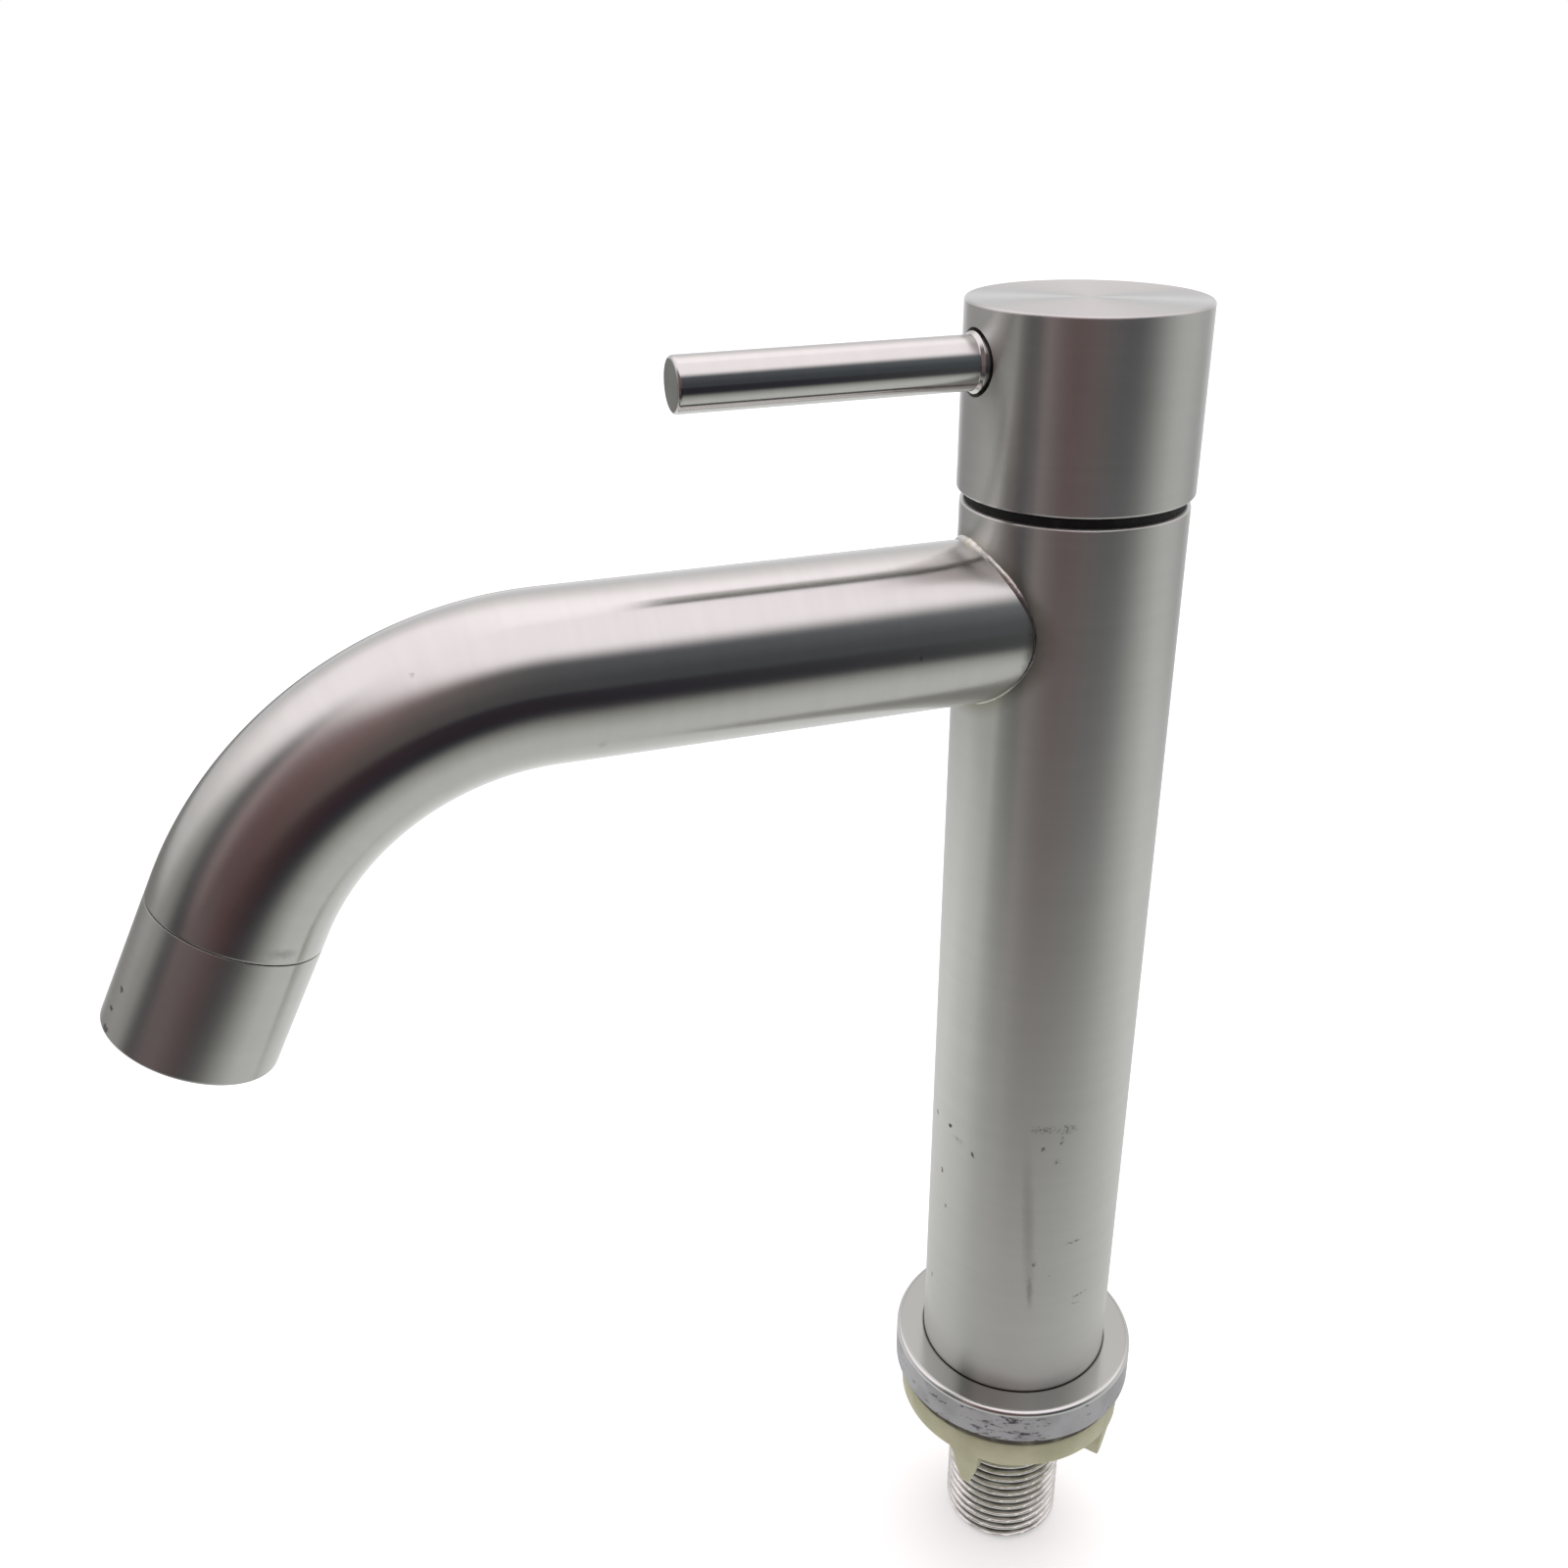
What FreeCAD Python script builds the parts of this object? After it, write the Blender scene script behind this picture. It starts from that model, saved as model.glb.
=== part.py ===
import FreeCAD, Part
import math
import os

# Basin tap for cold water, brushed stainless steel, in millimetres.
# Frame: +Z is up and the spout points along -Y. The origin is the centre of the
# flange's steel underside, so z = 0 is the top of the basin deck.

# Gaps between neighbouring pieces
weld_gap = 0.05
running_gap = 0.06
slide_gap = 0.35
thread_gap = 0.12

# Base flange and the rings under it
flange_radius = 21.5
flange_thickness = 6.7
flange_edge_radius = 1.0
flange_rim_width = 1.0
flange_foot_chamfer = 0.15
gasket_thickness = 2.3
gasket_inset = 0.1
gasket_width = 8.0
clamp_washer_thickness = 2.5
clamp_washer_margin = 0.15

# Threaded shank, a G1/2 pipe thread
thread_radius = 20.955 / 2
thread_pitch = 25.4 / 14
thread_depth = 1.162
thread_flank_angle = 27.5
thread_root_width = 0.25
thread_runout = 0.9
shank_length = 38.1
shank_bore_radius = 7.0
shank_end_chamfer = 0.9
shank_mouth_chamfer = 0.4
spigot_radius = 9.0
spigot_length = 4.0

# Winged back nut
nut_disc_radius = 20.2
nut_disc_thickness = 4.8
nut_disc_edge = 0.5
nut_hub_radius = 14.2
nut_hub_end_radius = 13.3
nut_height = 12.8
nut_wing_count = 4
nut_wing_azimuth = -50.0
nut_wing_radius = 20.4
nut_wing_end_radius = 19.0
nut_wing_height = 13.3
nut_wing_width = 5.4
nut_wing_waist = 3.8
nut_wing_tip_width = 1.6
nut_wing_tip_height = 3.8

# Body tube and the plug welded into its foot
body_radius = 16.5
body_wall = 1.2
body_length = 157.3
body_rim_chamfer = 0.3
plug_thickness = 8.0

# Riser tube and the valve seat on its top
riser_radius = 7.5
riser_wall = 0.9
riser_socket_depth = 5.0
seat_radius = 11.0
seat_web = 3.9
seat_port_radius = 5.4
seat_socket_depth = 3.1

# Spout tube, measured from the body's axis and down from the body's rim
spout_radius = 12.0
spout_wall = 1.0
spout_drop = 16.8
spout_straight = 78.3
spout_bend_radius = 48.0
spout_bend_angle = 63.5
spout_tail = 2.2
weld_leg = 1.0

# Outlet end: threaded ring, housing and aerator
housing_length = 18.9
housing_seam = 0.15
housing_lip_width = 2.4
housing_edge_chamfer = 0.35
end_ring_inset = 4.0
end_ring_reach = 6.5
end_ring_wall = 1.5
housing_wall = 1.3
aerator_washer_thickness = 1.8
aerator_washer_width = 2.1
cage_flange_thickness = 1.5
cage_recess = 1.0
cage_wall = 1.0
cage_floor = 1.0
cage_hole_radius = 0.85
cage_hole_spacing = 2.3
screen_thickness = 0.3
screen_hole_radius = 0.45
screen_hole_spacing = 1.5
screen_gap = 1.6
screen_count = 2
flow_disc_thickness = 1.4
flow_disc_step = 0.5
flow_hole_radius = 0.55
flow_hole_count = 12

# Collar welded into the top of the body tube
collar_rim_height = 5.0
collar_recess_depth = 4.0
collar_recess_radius = 13.0
collar_hub_radius = 13.2
collar_hub_length = 11.0

# Headwork: the quarter-turn ceramic valve screwed into the collar
headwork_thread_radius = 9.5
headwork_depth = 24.8
barrel_radius = 9.0
barrel_length = 13.5
barrel_bore_radius = 7.9
disc_chamber_depth = 12.8
hex_across_flats = 19.0
hex_height = 4.1
neck_radius = 6.0
neck_height = 1.0
fibre_washer_thickness = 1.0
fibre_washer_width = 2.3
window_height = 4.0
window_width = 8.0
seal_proud = 1.6
seal_inset = 1.1
seal_width = 2.2
disc_gap = 0.1
lower_disc_thickness = 3.0
upper_disc_thickness = 3.5
disc_ear_width = 3.0
disc_ear_reach = 0.8
port_angle = 72.0
port_inner_radius = 1.8
port_outer_radius = 6.6

# Spindle and the pieces on it
spindle_radius = 4.0
driver_length = 15.2
driver_width = 4.4
driver_height = 4.4
tongue_length = 12.0
tongue_width = 3.0
tongue_depth = 1.2
tongue_gap = 0.1
thrust_washer_thickness = 0.8
oring_section_radius = 0.55
oring_count = 2
oring_spacing = 4.0
oring_start = 5.0
oring_groove_height = 1.3
spline_length = 10.0
spline_teeth = 20
spline_depth = 0.4
circlip_thickness = 0.7
circlip_width = 2.2
circlip_opening = 60.0
circlip_groove_depth = 0.8

# Handle: head, lever, splined bush and set screw
head_radius = 17.0
head_height = 26.5
head_gap = 1.6
head_edge_chamfer = 0.35
head_recess_radius = 13.5
head_recess_depth = 1.5
bush_radius = 6.45
bush_length = 15.6
lever_radius = 3.75
lever_reach = 59.6
lever_height = 18.8
lever_end_chamfer = 0.45
lever_shoulder_radius = 4.2
lever_shoulder_depth = 4.0
lever_shoulder_proud = 0.4
lever_socket_gap = 0.45
lever_stud_radius = 2.5
lever_stud_length = 5.2
set_screw_radius = 1.5
set_screw_length = 10.0
set_screw_height = 4.2
set_screw_azimuth = -117.0
set_screw_key_width = 1.5
set_screw_key_depth = 1.5

# Dark ring in the gap between head and body
trim_ring_inset = 0.6
trim_ring_width = 2.6
trim_ring_clearance = 0.35

# Heights that follow from the sizes above
recess_radius = flange_radius - flange_rim_width
gasket_radius = recess_radius - weld_gap
clamp_washer_radius = recess_radius - clamp_washer_margin
nut_top = -clamp_washer_thickness
body_bottom = flange_thickness
body_top = body_bottom + body_length
body_bore_radius = body_radius - body_wall
trim_ring_radius = body_radius - trim_ring_inset
riser_bottom = body_bottom + spigot_length
riser_bore_radius = riser_radius - riser_wall
spout_z = body_top - spout_drop
spout_bore_radius = spout_radius - spout_wall
collar_floor = body_top - collar_recess_depth
headwork_bottom = collar_floor - headwork_depth
chamber_top = headwork_bottom + disc_chamber_depth
hex_bottom = collar_floor + fibre_washer_thickness
neck_bottom = hex_bottom + hex_height
neck_top = neck_bottom + neck_height
seat_floor = headwork_bottom - seal_proud
seat_bottom = seat_floor - seat_web - riser_socket_depth
riser_top = seat_bottom + riser_socket_depth
lower_disc_bottom = headwork_bottom + seal_inset
upper_disc_bottom = lower_disc_bottom + lower_disc_thickness
driver_bottom = upper_disc_bottom + upper_disc_thickness
driver_top = driver_bottom + driver_height
head_bottom = body_top + head_gap
head_top = head_bottom + head_height
bush_bottom = head_bottom + head_recess_depth
bush_top = bush_bottom + bush_length
bush_socket_radius = bush_radius + weld_gap
spindle_top = bush_top - head_edge_chamfer
circlip_bottom = neck_top + slide_gap / 3
lever_z = head_bottom + lever_height
lever_socket_bottom = head_radius - lever_shoulder_depth
lever_socket_radius = lever_shoulder_radius + lever_socket_gap
set_screw_z = head_bottom + set_screw_height
set_screw_tip = spindle_radius + running_gap / 3

# Places along the outlet axis, counted from the seam at the spout's end
housing_bore_radius = spout_radius - housing_wall
cage_seat = end_ring_reach + aerator_washer_thickness
housing_shoulder = cage_seat + cage_flange_thickness
housing_mouth_radius = spout_radius - housing_lip_width
cage_radius = housing_mouth_radius - slide_gap / 2
cage_bore_radius = cage_radius - cage_wall
cage_end = housing_length - cage_recess
end_ring_radius = spout_bore_radius - weld_gap
end_ring_thread_radius = housing_bore_radius - thread_gap
end_ring_bore_radius = end_ring_thread_radius - end_ring_wall

origin = FreeCAD.Vector(0, 0, 0)
along_x = FreeCAD.Vector(1, 0, 0)
along_z = FreeCAD.Vector(0, 0, 1)
overcut = 1.0


def rod(radius, bottom, top):
    """Solid round bar on the Z axis between two heights."""
    return Part.makeCylinder(radius, top - bottom, FreeCAD.Vector(0, 0, bottom))


def ring(outer_radius, inner_radius, bottom, top):
    """Round bar with a through hole."""
    return rod(outer_radius, bottom, top).cut(rod(inner_radius, bottom - overcut, top + overcut))


def turned(points):
    """Solid of revolution about Z from a closed outline of (radius, height) points."""
    corners = [FreeCAD.Vector(radius, 0, height) for radius, height in points]
    outline = Part.makePolygon(corners + corners[:1])
    return Part.Face(outline).revolve(origin, along_z, 360)


def block(length, width, bottom, top):
    """Rectangular bar centred on the Z axis, with its length along X."""
    corner = FreeCAD.Vector(-length / 2, -width / 2, bottom)
    return Part.makeBox(length, width, top - bottom, corner)


def hexagon(across_flats, bottom, top):
    """Six-sided bar on the Z axis."""
    corner_radius = across_flats / 2 / math.cos(math.radians(30))
    corners = []
    for side in range(6):
        angle = math.radians(60 * side)
        x, y = corner_radius * math.cos(angle), corner_radius * math.sin(angle)
        corners.append(FreeCAD.Vector(x, y, bottom))
    return Part.Face(Part.makePolygon(corners + corners[:1])).extrude(along_z * (top - bottom))


def sector(radius, angle, bottom, top):
    """Slice of a round bar, centred on the +X direction."""
    slice_shape = Part.makeCylinder(radius, top - bottom, FreeCAD.Vector(0, 0, bottom), along_z, angle)
    slice_shape.rotate(origin, along_z, -angle / 2)
    return slice_shape


def turn(shape, azimuth):
    """Copy of a shape turned about Z."""
    copy = shape.copy()
    copy.rotate(origin, along_z, azimuth)
    return copy


def point_outwards(shape, azimuth, height):
    """Copy of a shape whose own Z axis is laid along the radius at an azimuth and height."""
    copy = shape.copy()
    copy.rotate(origin, FreeCAD.Vector(0, 1, 0), 90)
    copy.rotate(origin, along_z, azimuth)
    copy.translate(FreeCAD.Vector(0, 0, height))
    return copy


def outlet_direction():
    """Direction in which the water leaves the spout."""
    angle = math.radians(spout_bend_angle)
    return FreeCAD.Vector(0, -math.cos(angle), -math.sin(angle))


def bend_centre():
    """Centre of the spout's bend."""
    return FreeCAD.Vector(0, -spout_straight, spout_z - spout_bend_radius)


def bend_end():
    """Point on the spout's centre line where the bend ends."""
    angle = math.radians(spout_bend_angle)
    offset = FreeCAD.Vector(0, -math.sin(angle), math.cos(angle)) * spout_bend_radius
    return bend_centre() + offset


def on_outlet(shape):
    """Copy of a shape whose own Z axis is laid along the outlet, with its origin at the seam."""
    copy = shape.copy()
    copy.rotate(origin, along_x, 90 + spout_bend_angle)
    copy.translate(bend_end() + outlet_direction() * spout_tail)
    return copy


def hole_pattern(hole_radius, spacing, field_radius, bottom, top):
    """Holes on a triangular grid that lie whole inside a round field."""
    holes = []
    rows = int(field_radius / spacing) + 1
    row_height = spacing * math.sin(math.radians(60))
    for row in range(-rows, rows + 1):
        shift = spacing / 2 if row % 2 else 0.0
        for column in range(-rows, rows + 1):
            x = column * spacing + shift
            y = row * row_height
            if math.hypot(x, y) + hole_radius < field_radius:
                hole = rod(hole_radius, bottom - overcut, top + overcut)
                hole.translate(FreeCAD.Vector(x, y, 0))
                holes.append(hole)
    return Part.makeCompound(holes)


def make_base_flange():
    """Steel disc under the body: rounded upper edge, gasket recess below, hole for the shank."""
    disc = rod(flange_radius, 0, flange_thickness)
    upper_edge = [e for e in disc.Edges if abs(e.CenterOfMass.z - flange_thickness) < weld_gap]
    disc = disc.makeFillet(flange_edge_radius, upper_edge)
    lower_edge = [e for e in disc.Edges if abs(e.CenterOfMass.z) < weld_gap and e.Closed]
    disc = disc.makeChamfer(flange_foot_chamfer, lower_edge)
    disc = disc.cut(rod(recess_radius, -overcut, gasket_inset + gasket_thickness))
    return disc.cut(rod(thread_radius + slide_gap, -overcut, flange_thickness + overcut))


def make_base_gasket():
    """Flat rubber ring that fills the flange's recess and seals it on the deck."""
    return ring(gasket_radius, gasket_radius - gasket_width, gasket_inset, gasket_inset + gasket_thickness)


def make_clamp_washer():
    """Thin rubber washer between the deck and the back nut."""
    return ring(clamp_washer_radius, thread_radius + slide_gap, nut_top, 0)


def make_thread_groove(bottom, top):
    """Helical groove of the pipe thread, a little deeper outside than the crest."""
    outside = thread_radius + overcut / 2
    root = thread_radius - thread_depth
    half_root = thread_root_width / 2
    half_mouth = half_root + (outside - root) * math.tan(math.radians(thread_flank_angle))
    corners = [
        FreeCAD.Vector(root, 0, -half_root),
        FreeCAD.Vector(outside, 0, -half_mouth),
        FreeCAD.Vector(outside, 0, half_mouth),
        FreeCAD.Vector(root, 0, half_root),
    ]
    outline = Part.makePolygon(corners + corners[:1])
    path = Part.makeHelix(thread_pitch, top - bottom, thread_radius)
    groove = Part.Wire(path.Edges).makePipeShell([outline], True, True)
    groove.translate(FreeCAD.Vector(0, 0, bottom))
    return groove


def make_threaded_shank():
    """Hollow shank with a pipe thread and a plain spigot that enters the body's plug."""
    bottom = -shank_length
    blank = turned([
        (0, bottom),
        (thread_radius - shank_end_chamfer, bottom),
        (thread_radius, bottom + shank_end_chamfer),
        (thread_radius, body_bottom),
        (spigot_radius, body_bottom),
        (spigot_radius, riser_bottom),
        (0, riser_bottom),
    ])
    groove = make_thread_groove(bottom - thread_pitch, -thread_runout)
    waterway = turned([
        (0, bottom - overcut),
        (shank_bore_radius + shank_mouth_chamfer + overcut, bottom - overcut),
        (shank_bore_radius, bottom + shank_mouth_chamfer),
        (shank_bore_radius, riser_bottom + overcut),
        (0, riser_bottom + overcut),
    ])
    return blank.cut(waterway).cut(groove)


def make_nut_wing():
    """One wing: a radial fin with a pointed foot and an outer edge that leans inwards."""
    bottom = nut_top - nut_wing_height
    waist = bottom + nut_wing_tip_height
    disc_bottom = nut_top - nut_disc_thickness
    inner = thread_radius + thread_gap
    corners = [
        FreeCAD.Vector(inner, -nut_wing_width / 2, disc_bottom),
        FreeCAD.Vector(inner, -nut_wing_waist / 2, waist),
        FreeCAD.Vector(inner, -nut_wing_tip_width / 2, bottom),
        FreeCAD.Vector(inner, nut_wing_tip_width / 2, bottom),
        FreeCAD.Vector(inner, nut_wing_waist / 2, waist),
        FreeCAD.Vector(inner, nut_wing_width / 2, disc_bottom),
    ]
    fin = Part.Face(Part.makePolygon(corners + corners[:1])).extrude(along_x * (nut_wing_radius - inner))
    outer_edge = turned([
        (0, bottom),
        (nut_wing_end_radius, bottom),
        (nut_wing_radius, disc_bottom),
        (0, disc_bottom),
    ])
    return fin.common(outer_edge)


def make_back_nut():
    """Plastic back nut: a flat disc, a tapered hub and four wings round a plain bore."""
    disc_bottom = nut_top - nut_disc_thickness
    hub_bottom = nut_top - nut_height
    nut = turned([
        (0, nut_top),
        (nut_disc_radius, nut_top),
        (nut_disc_radius, disc_bottom + nut_disc_edge),
        (nut_disc_radius - nut_disc_edge, disc_bottom),
        (nut_hub_radius, disc_bottom),
        (nut_hub_end_radius, hub_bottom),
        (0, hub_bottom),
    ])
    wing = make_nut_wing()
    wings = [turn(wing, nut_wing_azimuth + number * 360 / nut_wing_count) for number in range(nut_wing_count)]
    nut = nut.multiFuse(wings)
    bore = rod(thread_radius + thread_gap, nut_top - nut_wing_height - overcut, nut_top + overcut)
    return nut.cut(bore).removeSplitter()


def make_body_tube():
    """Upright tube with a bevelled rim and a side hole into the spout."""
    tube = turned([
        (body_bore_radius, body_bottom),
        (body_radius, body_bottom),
        (body_radius, body_top - body_rim_chamfer),
        (body_radius - body_rim_chamfer, body_top),
        (body_bore_radius, body_top),
    ])
    side_hole = Part.makeCylinder(
        spout_bore_radius, body_radius + overcut, FreeCAD.Vector(0, 0, spout_z), FreeCAD.Vector(0, -1, 0)
    )
    return tube.cut(side_hole)


def make_bottom_plug():
    """Disc welded into the foot of the body; it holds the shank's spigot and the riser."""
    top = body_bottom + plug_thickness
    plug = rod(body_bore_radius - weld_gap, body_bottom, top)
    plug = plug.cut(rod(spigot_radius + weld_gap, body_bottom - overcut, riser_bottom))
    return plug.cut(rod(riser_radius + weld_gap, body_bottom, top + overcut))


def make_riser_tube():
    """Inner tube that carries the water up from the shank to the valve seat."""
    return ring(riser_radius, riser_bore_radius, riser_bottom, riser_top)


def make_valve_seat():
    """Turned cup on the riser: riser socket below, port in the middle, headwork socket above."""
    seat = rod(seat_radius, seat_bottom, seat_floor + seat_socket_depth)
    seat = seat.cut(rod(riser_radius + weld_gap, seat_bottom - overcut, riser_top))
    seat = seat.cut(rod(seat_port_radius, seat_bottom, seat_floor + overcut))
    return seat.cut(rod(barrel_radius + 2 * weld_gap, seat_floor, seat_floor + seat_socket_depth + overcut))


def spout_shape(radius):
    """Solid along the spout's centre line: straight run, bend and short tail."""
    start = FreeCAD.Vector(0, 0, spout_z)
    forwards = FreeCAD.Vector(0, -1, 0)
    run = Part.makeCylinder(radius, spout_straight, start, forwards)
    start = FreeCAD.Vector(0, -spout_straight, spout_z)
    section = Part.Face(Part.Wire(Part.makeCircle(radius, start, forwards)))
    bend = section.revolve(bend_centre(), along_x, spout_bend_angle)
    tail = Part.makeCylinder(radius, spout_tail, bend_end(), outlet_direction())
    return run.multiFuse([bend, tail]).removeSplitter()


def make_spout_tube():
    """Bent tube whose root is cut to sit on the body tube."""
    tube = spout_shape(spout_radius).cut(spout_shape(spout_bore_radius))
    return tube.cut(rod(body_radius, 0, body_top))


def make_weld_bead():
    """Flat-faced weld that follows the joint between the spout and the body."""
    reach = body_radius + 3 * weld_leg
    arm = Part.makeCylinder(spout_radius, reach, FreeCAD.Vector(0, 0, spout_z), FreeCAD.Vector(0, -1, 0))
    post = rod(body_radius, spout_z - spout_radius - 3 * weld_leg, spout_z + spout_radius + 3 * weld_leg)
    joint = post.fuse(arm)
    seam = []
    for edge in joint.Edges:
        middle = edge.valueAt((edge.FirstParameter + edge.LastParameter) / 2)
        on_post = abs(math.hypot(middle.x, middle.y) - body_radius) < weld_gap
        on_arm = abs(math.hypot(middle.x, middle.z - spout_z) - spout_radius) < weld_gap
        if on_post and on_arm:
            seam.append(edge)
    return joint.makeChamfer(weld_leg, seam).cut(joint)


def make_end_ring():
    """Threaded ring welded into the spout's end; the housing screws onto it."""
    outline = [
        (end_ring_bore_radius, -end_ring_inset),
        (end_ring_radius, -end_ring_inset),
        (end_ring_radius, 0),
        (end_ring_thread_radius, 0),
        (end_ring_thread_radius, end_ring_reach),
        (end_ring_bore_radius, end_ring_reach),
    ]
    return on_outlet(turned(outline))


def make_aerator_housing():
    """Outer sleeve of the outlet, as wide as the spout, with a lip that holds the aerator."""
    outline = [
        (housing_bore_radius, housing_seam),
        (spout_radius, housing_seam),
        (spout_radius, housing_length - housing_edge_chamfer),
        (spout_radius - housing_edge_chamfer, housing_length),
        (housing_mouth_radius, housing_length),
        (housing_mouth_radius, housing_shoulder),
        (housing_bore_radius, housing_shoulder),
    ]
    return on_outlet(turned(outline))


def make_aerator_washer():
    """Rubber washer between the threaded ring and the aerator cage."""
    outer = housing_bore_radius - thread_gap
    return on_outlet(ring(outer, outer - aerator_washer_width, end_ring_reach, cage_seat))


def make_aerator_cage():
    """Plastic cup of the aerator with a pierced floor."""
    floor_top = cage_end - cage_floor
    cup = turned([
        (0, floor_top),
        (cage_bore_radius, floor_top),
        (cage_bore_radius, cage_seat),
        (housing_bore_radius - thread_gap, cage_seat),
        (housing_bore_radius - thread_gap, housing_shoulder),
        (cage_radius, housing_shoulder),
        (cage_radius, cage_end),
        (0, cage_end),
    ])
    holes = hole_pattern(cage_hole_radius, cage_hole_spacing, cage_bore_radius, floor_top, cage_end)
    return on_outlet(cup.cut(holes))


def make_flow_disc():
    """Disc with a ring of small jets at the mouth of the cage."""
    top = cage_seat + flow_disc_step
    disc = rod(cage_bore_radius - weld_gap, top, top + flow_disc_thickness)
    jet_circle = cage_bore_radius / 2
    jets = []
    for number in range(flow_hole_count):
        jet = rod(flow_hole_radius, top - overcut, top + flow_disc_thickness + overcut)
        jet.translate(FreeCAD.Vector(jet_circle, 0, 0))
        jets.append(turn(jet, number * 360 / flow_hole_count))
    return on_outlet(disc.cut(Part.makeCompound(jets)))


def make_aerator_screens():
    """Fine screens below the flow disc, one above the other."""
    screens = []
    for number in range(screen_count):
        top = cage_seat + flow_disc_step + flow_disc_thickness + screen_gap * (number + 1)
        bottom = top + screen_thickness
        screen = rod(cage_bore_radius - weld_gap, top, bottom)
        field = cage_bore_radius - screen_hole_radius
        holes = hole_pattern(screen_hole_radius, screen_hole_spacing, field, top, bottom)
        screens.append(on_outlet(screen.cut(holes)))
    return Part.makeCompound(screens)


def make_top_collar():
    """Collar in the body's top: a rim welded to the tube, a recess and a hub for the headwork."""
    rim_bottom = body_top - collar_rim_height
    return turned([
        (headwork_thread_radius + weld_gap, rim_bottom - collar_hub_length),
        (collar_hub_radius, rim_bottom - collar_hub_length),
        (collar_hub_radius, rim_bottom),
        (body_bore_radius - weld_gap, rim_bottom),
        (body_bore_radius - weld_gap, body_top),
        (collar_recess_radius, body_top),
        (collar_recess_radius, collar_floor),
        (headwork_thread_radius + weld_gap, collar_floor),
    ])


def make_fibre_washer():
    """Flat washer that seals the headwork on the collar's floor."""
    inner = headwork_thread_radius + weld_gap
    return ring(inner + fibre_washer_width, inner, collar_floor, hex_bottom)


def make_headwork_body():
    """Brass valve body: slotted barrel with side windows, threaded part, hexagon and neck."""
    barrel_top = headwork_bottom + barrel_length
    body = rod(barrel_radius, headwork_bottom, barrel_top)
    body = body.multiFuse([
        rod(headwork_thread_radius, barrel_top, hex_bottom),
        hexagon(hex_across_flats, hex_bottom, neck_bottom),
        rod(neck_radius, neck_bottom, neck_top),
    ])
    body = body.cut(rod(barrel_bore_radius, headwork_bottom - overcut, chamber_top))
    body = body.cut(rod(spindle_radius + running_gap, chamber_top - overcut, neck_top + overcut))
    window_bottom = driver_bottom + disc_gap
    body = body.cut(block(4 * barrel_radius, window_width, window_bottom, window_bottom + window_height))
    slot_width = disc_ear_width + 2 * disc_gap
    slot = block(4 * barrel_radius, slot_width, headwork_bottom - overcut, upper_disc_bottom)
    return body.cut(turn(slot, 90))


def ports(bottom, top):
    """The two opposite sector ports of a ceramic disc, centred on the X axis."""
    slices = []
    for azimuth in (0, 180):
        slices.append(turn(sector(port_outer_radius, port_angle, bottom - overcut, top + overcut), azimuth))
    return Part.makeCompound(slices).cut(rod(port_inner_radius, bottom - 2 * overcut, top + 2 * overcut))


def make_lower_disc():
    """Fixed ceramic disc with two ears that stop it turning and two ports."""
    radius = barrel_bore_radius - disc_gap
    disc = rod(radius, lower_disc_bottom, upper_disc_bottom)
    ears = block(4 * radius, disc_ear_width, lower_disc_bottom, upper_disc_bottom)
    ears = turn(ears, 90).common(rod(radius + disc_ear_reach, lower_disc_bottom, upper_disc_bottom))
    return disc.fuse(ears).cut(ports(lower_disc_bottom, upper_disc_bottom)).removeSplitter()


def make_upper_disc():
    """Turning ceramic disc; at rest its ports stand square to those of the fixed disc."""
    disc = rod(barrel_bore_radius - 2 * disc_gap, upper_disc_bottom, driver_bottom)
    disc = disc.cut(turn(ports(upper_disc_bottom, driver_bottom), 90))
    slot_length = tongue_length + 2 * tongue_gap
    slot_width = tongue_width + 2 * tongue_gap
    slot_bottom = driver_bottom - tongue_depth - tongue_gap
    return disc.cut(block(slot_length, slot_width, slot_bottom, driver_bottom + overcut))


def make_seat_seal():
    """Rubber ring pressed between the valve seat and the fixed disc."""
    radius = barrel_bore_radius - disc_gap
    return ring(radius, radius - seal_width, seat_floor, lower_disc_bottom)


def spline(radius, bottom, top):
    """Toothed bar: as many teeth as spline_teeth, flat-flanked, on the Z axis."""
    corners = []
    for tooth in range(spline_teeth):
        for part_of_tooth, reach in ((0.25, 0.0), (0.75, spline_depth)):
            angle = 2 * math.pi * (tooth + part_of_tooth) / spline_teeth
            distance = radius - reach
            corners.append(FreeCAD.Vector(distance * math.cos(angle), distance * math.sin(angle), bottom))
    return Part.Face(Part.makePolygon(corners + corners[:1])).extrude(along_z * (top - bottom))


def oring_heights():
    """Heights of the O-rings on the spindle."""
    return [chamber_top + oring_start + number * oring_spacing for number in range(oring_count)]


def make_spindle():
    """Brass spindle: driver with a tongue below, grooved shaft, clip groove and splined top."""
    driver = block(driver_length, driver_width, driver_bottom, driver_top)
    driver = driver.common(rod(barrel_bore_radius - 3 * disc_gap, driver_bottom, driver_top))
    tongue = block(tongue_length, tongue_width, driver_bottom - tongue_depth, driver_top)
    tongue = tongue.common(rod(barrel_bore_radius - 3 * disc_gap, driver_bottom - tongue_depth, driver_top))
    spline_bottom = spindle_top - spline_length
    shaft = rod(spindle_radius, driver_top, spline_bottom)
    spindle = driver.multiFuse([tongue, shaft, spline(spindle_radius, spline_bottom, spindle_top)])
    groove_floor = spindle_radius - 2 * oring_section_radius - running_gap / 2
    for height in oring_heights():
        bottom = height - oring_groove_height / 2
        top = bottom + oring_groove_height
        spindle = spindle.cut(ring(spindle_radius + overcut, groove_floor, bottom, top))
    clip_floor = spindle_radius - circlip_groove_depth
    clip_top = circlip_bottom + circlip_thickness
    spindle = spindle.cut(ring(spindle_radius + overcut, clip_floor, circlip_bottom, clip_top))
    return spindle.removeSplitter()


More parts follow.
